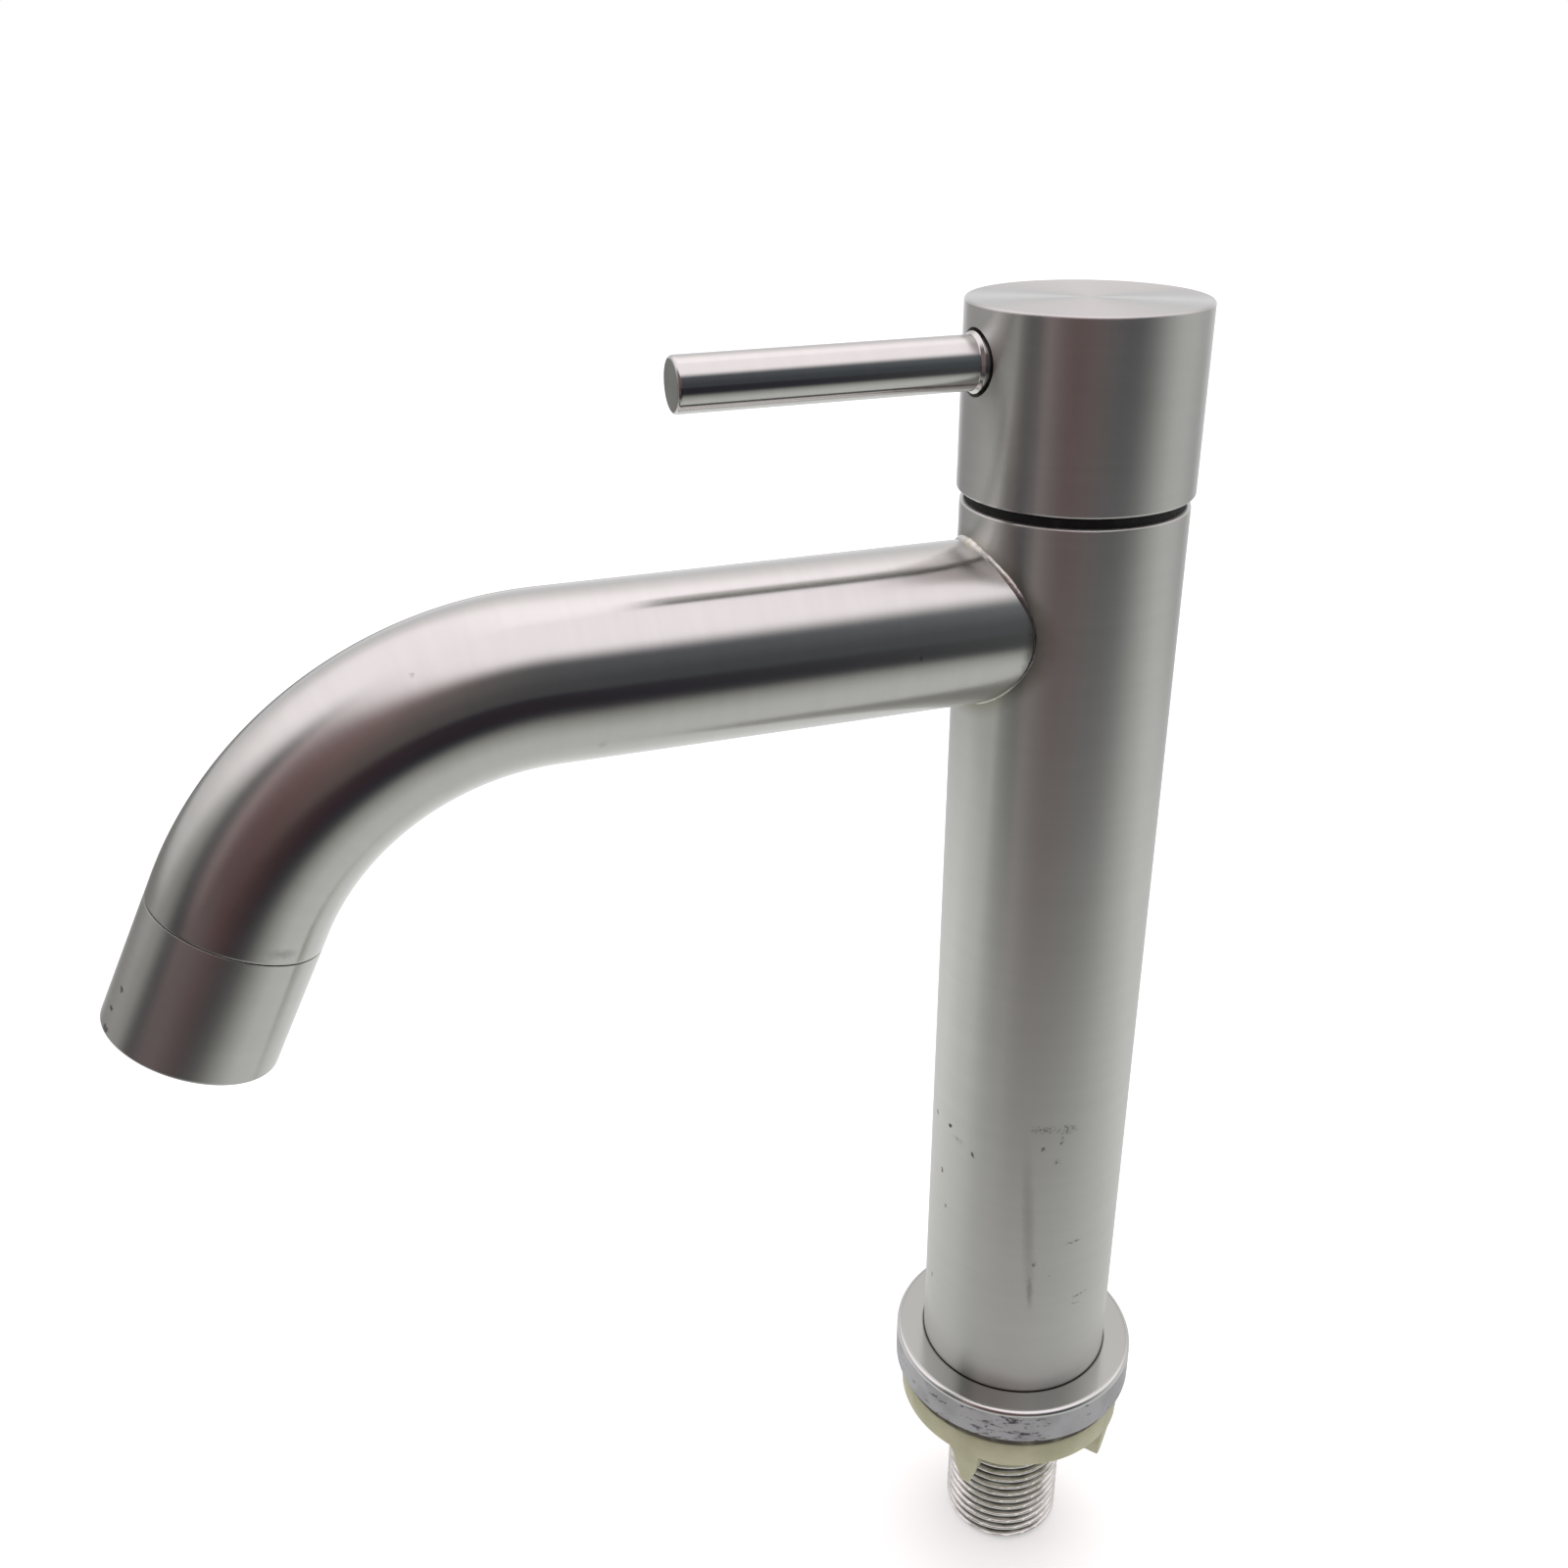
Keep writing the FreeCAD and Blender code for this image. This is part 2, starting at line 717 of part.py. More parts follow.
def make_spindle_orings():
    """O-rings in the spindle's grooves."""
    centre_radius = spindle_radius - oring_section_radius + running_gap / 2
    rings = []
    for height in oring_heights():
        centre = FreeCAD.Vector(0, 0, height)
        rings.append(Part.makeTorus(centre_radius, oring_section_radius, centre, along_z))
    return Part.makeCompound(rings)


def make_thrust_washer():
    """Slippery washer between the spindle's driver and the roof of the disc chamber."""
    outer = barrel_bore_radius - disc_gap
    washer_bottom = chamber_top - thrust_washer_thickness
    return ring(outer, spindle_radius + running_gap, washer_bottom, chamber_top)


def make_circlip():
    """Open ring in the spindle's upper groove, which stops it dropping."""
    inner = spindle_radius - circlip_groove_depth + weld_gap
    top = circlip_bottom + circlip_thickness
    clip = ring(inner + circlip_width, inner, circlip_bottom, top)
    reach = spindle_radius + circlip_width
    return clip.cut(sector(reach, circlip_opening, circlip_bottom - overcut, top + overcut))


def make_trim_ring():
    """Dark ring that fills the gap under the head."""
    inner = trim_ring_radius - trim_ring_width
    return ring(trim_ring_radius, inner, body_top, head_bottom - trim_ring_clearance)


def make_handle_head():
    """Turned head: recess and bush bore below, lever socket in front, set screw hole."""
    head = turned([
        (0, head_bottom),
        (head_radius - head_edge_chamfer, head_bottom),
        (head_radius, head_bottom + head_edge_chamfer),
        (head_radius, head_top - head_edge_chamfer),
        (head_radius - head_edge_chamfer, head_top),
        (0, head_top),
    ])
    head = head.cut(rod(head_recess_radius, head_bottom - overcut, bush_bottom))
    head = head.cut(rod(bush_socket_radius, head_bottom, bush_top))
    socket = rod(lever_socket_radius, lever_socket_bottom, head_radius + overcut)
    stud_hole = rod(lever_stud_radius + weld_gap, lever_socket_bottom - lever_stud_length, head_radius)
    screw_hole = rod(set_screw_radius + weld_gap, 0, head_radius + overcut)
    head = head.cut(point_outwards(socket, -90, lever_z))
    head = head.cut(point_outwards(stud_hole, -90, lever_z))
    return head.cut(point_outwards(screw_hole, set_screw_azimuth, set_screw_z))


def make_lever_rod():
    """Straight round lever: chamfered end, shoulder at the root and a stud into the head."""
    lever = turned([
        (0, lever_socket_bottom - lever_stud_length),
        (lever_stud_radius, lever_socket_bottom - lever_stud_length),
        (lever_stud_radius, lever_socket_bottom),
        (lever_shoulder_radius, lever_socket_bottom),
        (lever_shoulder_radius, head_radius + lever_shoulder_proud / 2),
        (lever_radius, head_radius + lever_shoulder_proud / 2 + lever_shoulder_radius - lever_radius),
        (lever_radius, lever_reach - lever_end_chamfer),
        (lever_radius - lever_end_chamfer, lever_reach),
        (0, lever_reach),
    ])
    return point_outwards(lever, -90, lever_z)


def make_spline_bush():
    """Bush pressed into the head: plain mouth, splined bore and a hole for the set screw."""
    bush = rod(bush_radius, bush_bottom, bush_top)
    spline_bottom = spindle_top - spline_length
    bush = bush.cut(rod(spindle_radius + weld_gap, bush_bottom - overcut, spline_bottom + weld_gap))
    bush = bush.cut(spline(spindle_radius + weld_gap, spline_bottom, bush_top + overcut))
    screw_hole = rod(set_screw_radius + weld_gap, 0, bush_radius + overcut)
    return bush.cut(point_outwards(screw_hole, set_screw_azimuth, set_screw_z))


def make_set_screw():
    """Headless screw with a hexagon socket; its tip bears on the spindle."""
    end = set_screw_tip + set_screw_length
    screw = rod(set_screw_radius, set_screw_tip, end)
    screw = screw.cut(hexagon(set_screw_key_width, end - set_screw_key_depth, end + overcut))
    return point_outwards(screw, set_screw_azimuth, set_screw_z)


makers = {
    "body_tube": make_body_tube,
    "bottom_plug": make_bottom_plug,
    "riser_tube": make_riser_tube,
    "valve_seat": make_valve_seat,
    "top_collar": make_top_collar,
    "trim_ring": make_trim_ring,
    "spout_tube": make_spout_tube,
    "spout_weld_bead": make_weld_bead,
    "spout_end_ring": make_end_ring,
    "aerator_housing": make_aerator_housing,
    "aerator_washer": make_aerator_washer,
    "aerator_cage": make_aerator_cage,
    "aerator_flow_disc": make_flow_disc,
    "aerator_screens": make_aerator_screens,
    "base_flange": make_base_flange,
    "base_gasket": make_base_gasket,
    "threaded_shank": make_threaded_shank,
    "clamp_washer": make_clamp_washer,
    "back_nut": make_back_nut,
    "headwork_body": make_headwork_body,
    "fibre_washer": make_fibre_washer,
    "seat_seal": make_seat_seal,
    "lower_ceramic_disc": make_lower_disc,
    "upper_ceramic_disc": make_upper_disc,
    "thrust_washer": make_thrust_washer,
    "spindle": make_spindle,
    "spindle_orings": make_spindle_orings,
    "spindle_circlip": make_circlip,
    "handle_head": make_handle_head,
    "lever_rod": make_lever_rod,
    "spline_bush": make_spline_bush,
    "set_screw": make_set_screw,
}

os.makedirs("parts", exist_ok=True)
for node, maker in makers.items():
    shape = maker()
    shape.exportStep(f"parts/{node}.step")
    print(node, "solids", len(shape.Solids), "volume", round(shape.Volume, 1), "valid", shape.isValid())
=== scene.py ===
"""Looks of a brushed steel basin tap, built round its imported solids.

Lengths are in metres. Z is up, the spout points along -Y, and z = 0 is the top of the basin deck.
"""

import logging
import math
from dataclasses import dataclass, replace
from enum import Enum

import bmesh
import bpy
import numpy as np
from mathutils import Matrix, Vector


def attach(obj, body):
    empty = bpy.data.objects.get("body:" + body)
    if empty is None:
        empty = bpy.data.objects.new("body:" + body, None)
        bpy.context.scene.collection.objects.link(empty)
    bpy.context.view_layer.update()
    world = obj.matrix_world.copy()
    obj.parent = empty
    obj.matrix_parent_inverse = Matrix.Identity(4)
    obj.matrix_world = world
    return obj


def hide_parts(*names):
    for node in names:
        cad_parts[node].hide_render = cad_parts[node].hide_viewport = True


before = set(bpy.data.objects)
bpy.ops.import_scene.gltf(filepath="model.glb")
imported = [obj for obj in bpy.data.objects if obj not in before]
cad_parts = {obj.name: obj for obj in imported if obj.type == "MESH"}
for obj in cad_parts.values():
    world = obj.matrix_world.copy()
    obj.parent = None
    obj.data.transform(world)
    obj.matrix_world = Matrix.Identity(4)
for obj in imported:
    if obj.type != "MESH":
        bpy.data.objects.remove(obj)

MM = 0.001
ROUND = 2 * math.pi
GRAIN = "grain"
UNROLLED = "unrolled"
WELD_DISTANCE = 2e-6
ARC_POINTS = 7
NOISE_RANGE = (0.2, 0.8)
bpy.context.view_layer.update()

log = logging.getLogger("basin_tap")
Array = np.ndarray
Colour = tuple[float, float, float]
Tones = tuple[tuple[float, float, float, float], ...]
Socket = bpy.types.NodeSocket
Material = bpy.types.Material


class Body(Enum):
    """The bodies that pieces ride on."""

    FIXED = "fixed_body"
    HANDLE = "handle"
    WASHER = "washer"
    NUT = "nut"


class Slot(Enum):
    """The record's material slots."""

    BRUSHED = "brushed_steel"
    WELD = "weld_steel"
    THREAD = "thread_steel"
    RUBBER = "rubber"
    NUT = "nut_plastic"


@dataclass(frozen=True)
class Patch:
    """A grid of points with what its finish needs.

    Attributes:
        points: Places, rows by columns by 3.
        grain: Rolled-out coordinates, rows by columns by 3, the third running along the piece.
        unrolled: UV coordinates, rows by columns by 2, U along the piece and V round it.
        keep: Which cells become faces, or None for all.
    """

    points: Array
    grain: Array
    unrolled: Array
    keep: Array | None = None

    def placed(self, matrix: Matrix) -> "Patch":
        """Gives the patch moved by a matrix, with its grain and UV as they are."""
        turn = np.array(matrix.to_3x3())
        return replace(self, points=self.points @ turn.T + np.array(matrix.translation))


def stack(*parts: Array) -> Array:
    """Puts arrays side by side along a new last axis."""
    return np.stack(np.broadcast_arrays(*parts), axis=-1)


def circle(columns: int) -> Array:
    """Angles once round, from 0 to a full turn."""
    return np.linspace(0.0, ROUND, columns + 1)


def round_patch(
    radius: Array, turn: Array, height: Array, along: Array, across: Array, keep: Array | None = None
) -> Patch:
    """Patch round Z, whose points are (r cos t, r sin t, z).

    Args:
        radius: Distances r from the axis.
        turn: Azimuths t.
        height: Heights z.
        along: Lengths along the piece, for its grain and for U.
        across: Lengths round the piece, for V.
        keep: Which cells become faces, or None for all.

    Returns:
        The patch.
    """
    x, y = radius * np.cos(turn), radius * np.sin(turn)
    return Patch(stack(x, y, height), stack(x, y, along), stack(along, across + 0 * x), keep)


def corner_arc(before: Array, corner: Array, after: Array, fillet: float, hold: float) -> Array:
    """Rounds one corner of an outline.

    The arc touches both sides at fillet / tan(half the corner's angle) from the corner. A point more on
    each side, a little further out, keeps the shading of the straight parts flat.

    Args:
        before: The corner before this one.
        corner: The corner.
        after: The corner after it.
        fillet: The arc's radius, or 0 to keep the corner sharp.
        hold: Distance of the extra points from the arc's ends.

    Returns:
        The points that take the corner's place.
    """
    back = (before - corner) / np.linalg.norm(before - corner)
    ahead = (after - corner) / np.linalg.norm(after - corner)
    if fillet <= 0.0:
        return np.array([corner + back * hold, corner, corner + ahead * hold])
    half = math.acos(float(np.clip(back @ ahead, -1.0, 1.0))) / 2
    reach = fillet / math.tan(half)
    middle = back + ahead
    centre = corner + middle / np.linalg.norm(middle) * fillet / math.sin(half)
    first, last = corner + back * reach - centre, corner + ahead * reach - centre
    start = math.atan2(first[1], first[0])
    swing = (math.atan2(last[1], last[0]) - start + math.pi) % ROUND - math.pi
    angles = start + swing * np.linspace(0.0, 1.0, ARC_POINTS)
    arc = centre + fillet * stack(np.cos(angles), np.sin(angles))
    ends = corner + np.array([back, ahead]) * (reach + hold)
    return np.vstack([ends[:1], arc, ends[1:]])


def rounded(corners: list[tuple[float, float, float]], closed: bool = True, hold: float = 0.12 * MM) -> Array:
    """Outline through corners of (radius, height, fillet), each rounded by its fillet.

    Args:
        corners: The corners in order. In an open outline the first and last stay as they are.
        closed: Whether the outline runs back to its first corner.
        hold: Distance of the shading points from each arc.

    Returns:
        The outline, points by 2. A closed one repeats its first point at the end.
    """
    places = np.array([corner[:2] for corner in corners], float)
    after = np.roll(places, -1, axis=0)
    inner = slice(None) if closed else slice(1, -1)
    before = np.roll(places, 1, axis=0)
    rows = zip(before[inner], places[inner], after[inner], corners[inner])
    arcs = [corner_arc(last, place, following, corner[2], hold) for last, place, following, corner in rows]
    if closed:
        return np.vstack([*arcs, arcs[0][:1]])
    return np.vstack([places[:1], *arcs, places[-1:]])


def turned(outline: Array, columns: int) -> Patch:
    """Surface of revolution about Z: (r cos t, r sin t, z), with (r, z) along the outline and t once round.

    Args:
        outline: Points of (radius, height).
        columns: Steps round the axis.

    Returns:
        The patch.
    """
    turn = circle(columns)
    steps = np.linalg.norm(np.diff(outline, axis=0), axis=1)
    along = np.concatenate([[0.0], np.cumsum(steps)])[:, None]
    return round_patch(outline[:, :1], turn, outline[:, 1:], along, turn * outline[:, 0].max())


def make_mesh(name: str, patches: list[Patch], crease: float) -> bpy.types.Mesh:
    """Joins patches into one closed mesh that carries the grain and the UV map.

    Args:
        name: The mesh's name.
        patches: Its patches, whose shared borders have the same points.
        crease: Angle in degrees past which an edge stays sharp.

    Returns:
        The mesh.
    """
    faces, offset = [], 0
    for patch in patches:
        rows, columns = patch.points.shape[:2]
        index = np.arange(rows * columns).reshape(rows, columns) + offset
        quads = stack(index[:-1, :-1], index[:-1, 1:], index[1:, 1:], index[1:, :-1])
        faces.append(quads.reshape(-1, 4) if patch.keep is None else quads[patch.keep])
        offset += rows * columns
    points = np.vstack([patch.points.reshape(-1, 3) for patch in patches])
    grain = np.vstack([patch.grain.reshape(-1, 3) for patch in patches])
    unrolled = np.vstack([patch.unrolled.reshape(-1, 2) for patch in patches])
    mesh = bpy.data.meshes.new(name)
    mesh.from_pydata(points.tolist(), [], np.vstack(faces).tolist())
    mesh.attributes.new(GRAIN, "FLOAT_VECTOR", "POINT").data.foreach_set("vector", grain.ravel())
    corners = np.zeros(len(mesh.loops), dtype=np.int32)
    mesh.loops.foreach_get("vertex_index", corners)
    mesh.uv_layers.new(name=UNROLLED).data.foreach_set("uv", unrolled[corners].ravel())
    sheet = bmesh.new()
    sheet.from_mesh(mesh)
    bmesh.ops.remove_doubles(sheet, verts=sheet.verts, dist=WELD_DISTANCE)
    loose = [vertex for vertex in sheet.verts if not vertex.link_faces]
    bmesh.ops.delete(sheet, geom=loose, context="VERTS")
    bmesh.ops.recalc_face_normals(sheet, faces=sheet.faces)
    sheet.to_mesh(mesh)
    sheet.free()
    mesh.shade_smooth()
    mesh.set_sharp_from_angle(angle=math.radians(crease))
    return mesh


@dataclass(frozen=True)
class Pattern:
    """A noise pattern.

    Attributes:
        scale: Cells per metre, in all directions or for each axis.
        detail: Layers of finer cells.
        rough: Strength of the finer layers.
        low: Noise that counts as 0, or None to leave the noise as it is.
        high: Noise that counts as 1.
    """

    scale: float | tuple[float, float, float]
    detail: float = 3.0
    rough: float = 0.5
    low: float | None = None
    high: float = 1.0


class Sheet:
    """A tree of shader nodes, with short ways to add and join them."""

    def __init__(self, tree: bpy.types.NodeTree, material: Material | None = None) -> None:
        """Takes a tree.

        Args:
            tree: The tree.
            material: The material whose tree it is, or None for the world's.
        """
        self.tree = tree
        self.material = material
        self.shader = tree.nodes.get("Principled BSDF")

    @classmethod
    def of_material(cls, name: str) -> "Sheet":
        """Starts a material with a Principled shader and its output.

        Args:
            name: The material's name.

        Returns:
            Its nodes.
        """
        material = bpy.data.materials.new(name)
        material.use_nodes = True
        return cls(material.node_tree, material)

    def add(self, kind: str, inputs: dict | None = None, **settings: object) -> bpy.types.Node:
        """Adds a node.

        Args:
            kind: The node's type.
            inputs: Values or sockets by input name or number.
            settings: The node's own properties.

        Returns:
            The node.
        """
        node = self.tree.nodes.new(kind)
        for key, value in settings.items():
            setattr(node, key, value)
        for key, value in (inputs or {}).items():
            self.put(node.inputs[key], value)
        return node

    def put(self, socket: Socket, value: object) -> None:
        """Joins a socket to another, or sets its value.

        Args:
            socket: The socket.
            value: The other socket, or the value.
        """
        if isinstance(value, Socket):
            self.tree.links.new(value, socket)
        else:
            socket.default_value = value

    def maths(self, operation: str, *values: object) -> Socket:
        """Gives the result of a Math node."""
        return self.add("ShaderNodeMath", dict(enumerate(values)), operation=operation).outputs[0]

    def plus(self, first: object, second: object) -> Socket:
        """Adds two values."""
        return self.maths("ADD", first, second)

    def minus(self, first: object, second: object) -> Socket:
        """Takes the second value from the first."""
        return self.maths("SUBTRACT", first, second)

    def times(self, first: object, second: object) -> Socket:
        """Multiplies two values."""
        return self.maths("MULTIPLY", first, second)

    def hypotenuse(self, first: object, second: object) -> Socket:
        """Root of the sum of two values' squares."""
        return self.maths("SQRT", self.plus(self.times(first, first), self.times(second, second)))

    def vectors(self, operation: str, *values: object) -> bpy.types.NodeOutputs:
        """Gives the outputs of a Vector Math node."""
        return self.add("ShaderNodeVectorMath", dict(enumerate(values)), operation=operation).outputs

    def scaled(self, vector: object, factor: object) -> Socket:
        """Multiplies a vector or a colour by a value."""
        return self.add("ShaderNodeVectorMath", {0: vector, "Scale": factor}, operation="SCALE").outputs[0]

    def split(self, vector: Socket) -> tuple[Socket, ...]:
        """Gives a vector's X, Y and Z."""
        return tuple(self.add("ShaderNodeSeparateXYZ", {0: vector}).outputs)

    def spread(
        self, value: object, low: float, high: float, to_low: float = 0.0, to_high: float = 1.0
    ) -> Socket:
        """Maps a value smoothly from one range to another, and holds it at the ends."""
        inputs = {"Value": value, "From Min": low, "From Max": high, "To Min": to_low, "To Max": to_high}
        return self.add("ShaderNodeMapRange", inputs, interpolation_type="SMOOTHSTEP").outputs["Result"]

    def fade(self, value: object, low: float, high: float, most: float = 1.0) -> Socket:
        """Falls smoothly from most at the low value to 0 at the high one."""
        return self.spread(value, low, high, most, 0.0)

    def mix(self, factor: object, first: object, second: object) -> Socket:
        """Mixes two colours.

        Args:
            factor: Share of the second colour.
            first: The first colour.
            second: The second colour.

        Returns:
            The mixed colour.
        """
        node = self.add("ShaderNodeMix", {0: factor}, data_type="RGBA")
        for place, colour in ((6, first), (7, second)):
            self.put(node.inputs[place], colour if isinstance(colour, Socket) else (*colour, 1.0))
        return node.outputs[2]

    def ramp(self, value: object, tones: Tones) -> Socket:
        """Colours by value, with even blends between tones.

        Args:
            value: The value.
            tones: Rows of value, red, green and blue, with rising values.

        Returns:
            The colour.
        """
        low, high = tones[0][0], tones[-1][0]
        share = self.add("ShaderNodeMapRange", {"Value": value, "From Min": low, "From Max": high}).outputs[0]
        node = self.add("ShaderNodeValToRGB", {"Fac": share})
        stops = node.color_ramp.elements
        for place, *colour in tones[1:-1]:
            stops.new((place - low) / (high - low)).color = (*colour, 1.0)
        stops[0].color = (*tones[0][1:], 1.0)
        stops[-1].color = (*tones[-1][1:], 1.0)
        return node.outputs["Color"]

    def pattern(self, vector: object, pattern: Pattern) -> Socket:
        """Draws a noise pattern.

        Args:
            vector: Where it is read.
            pattern: Its settings.

        Returns:
            Its value, from 0 to 1.
        """
        scale = pattern.scale
        if isinstance(scale, tuple):
            vector = self.add("ShaderNodeMapping", {"Vector": vector, "Scale": scale}).outputs["Vector"]
            scale = 1.0
        inputs = {"Vector": vector, "Scale": scale, "Detail": pattern.detail, "Roughness": pattern.rough}
        value = self.add("ShaderNodeTexNoise", inputs).outputs["Fac"]
        return value if pattern.low is None else self.spread(value, pattern.low, pattern.high)

    def grain(self) -> Socket:
        """The piece's rolled-out coordinates."""
        return self.add("ShaderNodeAttribute", attribute_name=GRAIN).outputs["Vector"]

    def place(self) -> Socket:
        """The piece's own coordinates."""
        return self.add("ShaderNodeTexCoord").outputs["Object"]

    def brushed(self, anisotropy: float) -> dict[str, object]:
        """Shader inputs of metal whose reflections spread along U."""
        tangent = self.add("ShaderNodeTangent", direction_type="UV_MAP", uv_map=UNROLLED).outputs[0]
        return {"Metallic": 1.0, "Anisotropic": anisotropy, "Tangent": tangent}

    def finish(self, colour: Socket, rough: Socket, height: Socket, depth: float, **more: object) -> Material:
        """Joins the surface's values to the shader.

        Args:
            colour: Base colour.
            rough: Roughness.
            height: Height of the relief.
            depth: Distance that a height of 1 stands for.
            more: Values of other inputs of the shader.

        Returns:
            The material.
        """
        bump = self.add("ShaderNodeBump", {"Height": height, "Distance": depth, "Strength": 1.0}).outputs[0]
        inputs = {"Base Color": colour, "Roughness": rough, "Normal": bump, **more}
        for name, value in inputs.items():
            self.put(self.shader.inputs[name], value)
        return self.material


def dimmed(colour: Colour, share: float) -> Colour:
    """A colour with a share of its brightness."""
    return tuple(value * share for value in colour)


@dataclass(frozen=True)
class Mark:
    """One nick or scuff on a round piece.

    Attributes:
        azimuth: Where it is round the piece's own axis, in degrees.
        height: Where it is along the axis.
        length: Its size across, along the surface.
        tall: Its size along the axis.
        lean: How far it leans, in degrees.
        depth: How dark and deep it is, from 0 to 1.
        even: Whether it is an even stain, and not a broken scuff.
    """

    azimuth: float
    height: float
    length: float
    tall: float
    lean: float
    depth: float
    even: bool = False


def marks_in_mm(*rows: tuple[float, ...]) -> tuple[Mark, ...]:
    """Marks from rows of a Mark's values, with its sizes in millimetres."""
    return tuple(Mark(row[0], row[1] * MM, row[2] * MM, row[3] * MM, *row[4:]) for row in rows)


@dataclass(frozen=True)
class Wear:
    """The marks on a round piece.

    Attributes:
        marks: The marks.
        radius: Radius of the surface that they are on.
        start: Height of their zero along the rolled-out surface.
        colour: Colour at their deepest.
        dull: How much roughness they add.
        relief: Their depth, as a multiple of the grinding lines'.
        edge_scale: Cells per metre of the noise that shifts their outlines.
        edge_shift: How far it shifts them.
        gaps: Pattern that breaks up the faint ones.
        broken_below: Depth under which a mark is broken up.
        core: Share of a nick's size inside which it is at its deepest.
    """

    marks: tuple[Mark, ...]
    radius: float
    start: float = 0.0
    colour: Colour = (0.10, 0.098, 0.092)
    dull: float = 0.25
    relief: float = 6.0
    edge_scale: float = 1400.0
    edge_shift: float = 0.9 * MM
    gaps: Pattern = Pattern(2300.0, 2.0, 0.5, 0.42, 0.62)
    broken_below: float = 0.75
    core: float = 0.45

    def share(self, sheet: Sheet, grain: Socket) -> Socket:
        """How worn the surface is, from 0 to 1.

        Each mark is 1 inside an ellipse on the unrolled surface and fades to 0 at its edge. Noise shifts
        the surface before the marks are measured, which makes their outlines ragged, and breaks up the
        faint ones.

        Args:
            sheet: The material's nodes.
            grain: The piece's rolled-out coordinates.

        Returns:
            The value.
        """
        x, y, along = sheet.split(grain)
        around = sheet.times(sheet.maths("ARCTAN2", y, x), self.radius)
        flat = {"X": around, "Y": sheet.plus(along, self.start)}
        noise = sheet.add("ShaderNodeTexNoise", {"Vector": grain, "Scale": self.edge_scale, "Detail": 2.0})
        shift = sheet.vectors("SUBTRACT", noise.outputs["Color"], (0.5, 0.5, 0.5))["Vector"]
        shift = sheet.scaled(shift, self.edge_shift)
        ragged = sheet.vectors("ADD", sheet.add("ShaderNodeCombineXYZ", flat).outputs[0], shift)["Vector"]
        broken = sheet.pattern(grain, self.gaps)
        total: object = 0.0
        for mark in self.marks:
            inputs = {
                "Vector": ragged,
                "Location": (math.radians(mark.azimuth) * self.radius, mark.height, 0.0),
                "Rotation": (0.0, 0.0, math.radians(mark.lean)),
                "Scale": (mark.length / 2, mark.tall / 2, 1.0),
            }
            local = sheet.add("ShaderNodeMapping", inputs, vector_type="TEXTURE").outputs[0]
            planar = sheet.vectors("MULTIPLY", local, (1, 1, 0))["Vector"]
            distance = sheet.vectors("LENGTH", planar)["Value"]
            inside = sheet.fade(distance, 0.0 if mark.even else self.core, 1.0, mark.depth)
            if mark.depth < self.broken_below and not mark.even:
                inside = sheet.times(inside, broken)
            total = sheet.maths("MAXIMUM", inside, total)
        return total


@dataclass(frozen=True)
class WeldTintAndShade:
    """The straw tint that a weld leaves on the steel round it, and painted shade at the weld's sides.

    Attributes:
        height: The weld's height.
        radius: The weld's radius about a line along Y.
        reach: How far out the painted shade goes.
        straw: Straw colour, which goes a little further.
        painted_shade: Painted shade, at the weld's sides.
        ragged: Pattern that makes their outlines uneven.
        front: Values of Y between which the tint and the painted shade end.
        strength: The most that the tint and the painted shade cover.
        straw_reach: How far out the straw colour goes, as a share of the reach.
        ragged_share: How far the outlines are shifted, as a share of the reach.
        sides: Heights from the weld's middle, as shares of its radius, between which the painted shade thins
            out.
        painted_shade_most: The most painted shade at the sides.
    """

    height: float
    radius: float
    reach: float
    straw: Colour = (0.42, 0.40, 0.31)
    # Colour of the painted shade at the weld's sides, where the spout shades the body.
    painted_shade: Colour = (0.14, 0.135, 0.14)
    ragged: Pattern = Pattern(260.0)
    front: tuple[float, float] = (-2.0 * MM, 0.0)
    strength: float = 0.8
    straw_reach: float = 1.2
    ragged_share: float = 0.4
    sides: tuple[float, float] = (0.45, 0.85)
    painted_shade_most: float = 0.85

    def tinted(self, sheet: Sheet, colour: Socket) -> Socket:
        """Tints a colour with straw, and paints shade at the weld's sides.

        The distance from the line is sqrt(x^2 + (z - height)^2). Tint and painted shade fade as it grows past
        the radius.

        Args:
            sheet: The material's nodes.
            colour: The colour.

        Returns:
            The tinted colour.
        """
        place = sheet.place()
        x, y, z = sheet.split(place)
        rise = sheet.minus(z, self.height)
        ragged = sheet.times(sheet.pattern(place, self.ragged), self.reach * self.ragged_share)
        distance = sheet.plus(sheet.hypotenuse(rise, x), ragged)
        front = sheet.fade(y, *self.front)
        straw, painted_shade = (
            sheet.times(sheet.fade(distance, self.radius, self.radius + end, self.strength), front)
            for end in (self.reach * self.straw_reach, self.reach)
        )
        low, high = self.sides
        off = sheet.maths("ABSOLUTE", rise)
        sides = sheet.fade(off, self.radius * low, self.radius * high, self.painted_shade_most)
        # Painted shade: the steel goes dark at the weld's sides; the straw tint is real heat tint.
        return sheet.mix(sheet.times(painted_shade, sides), sheet.mix(straw, colour, self.straw), self.painted_shade)


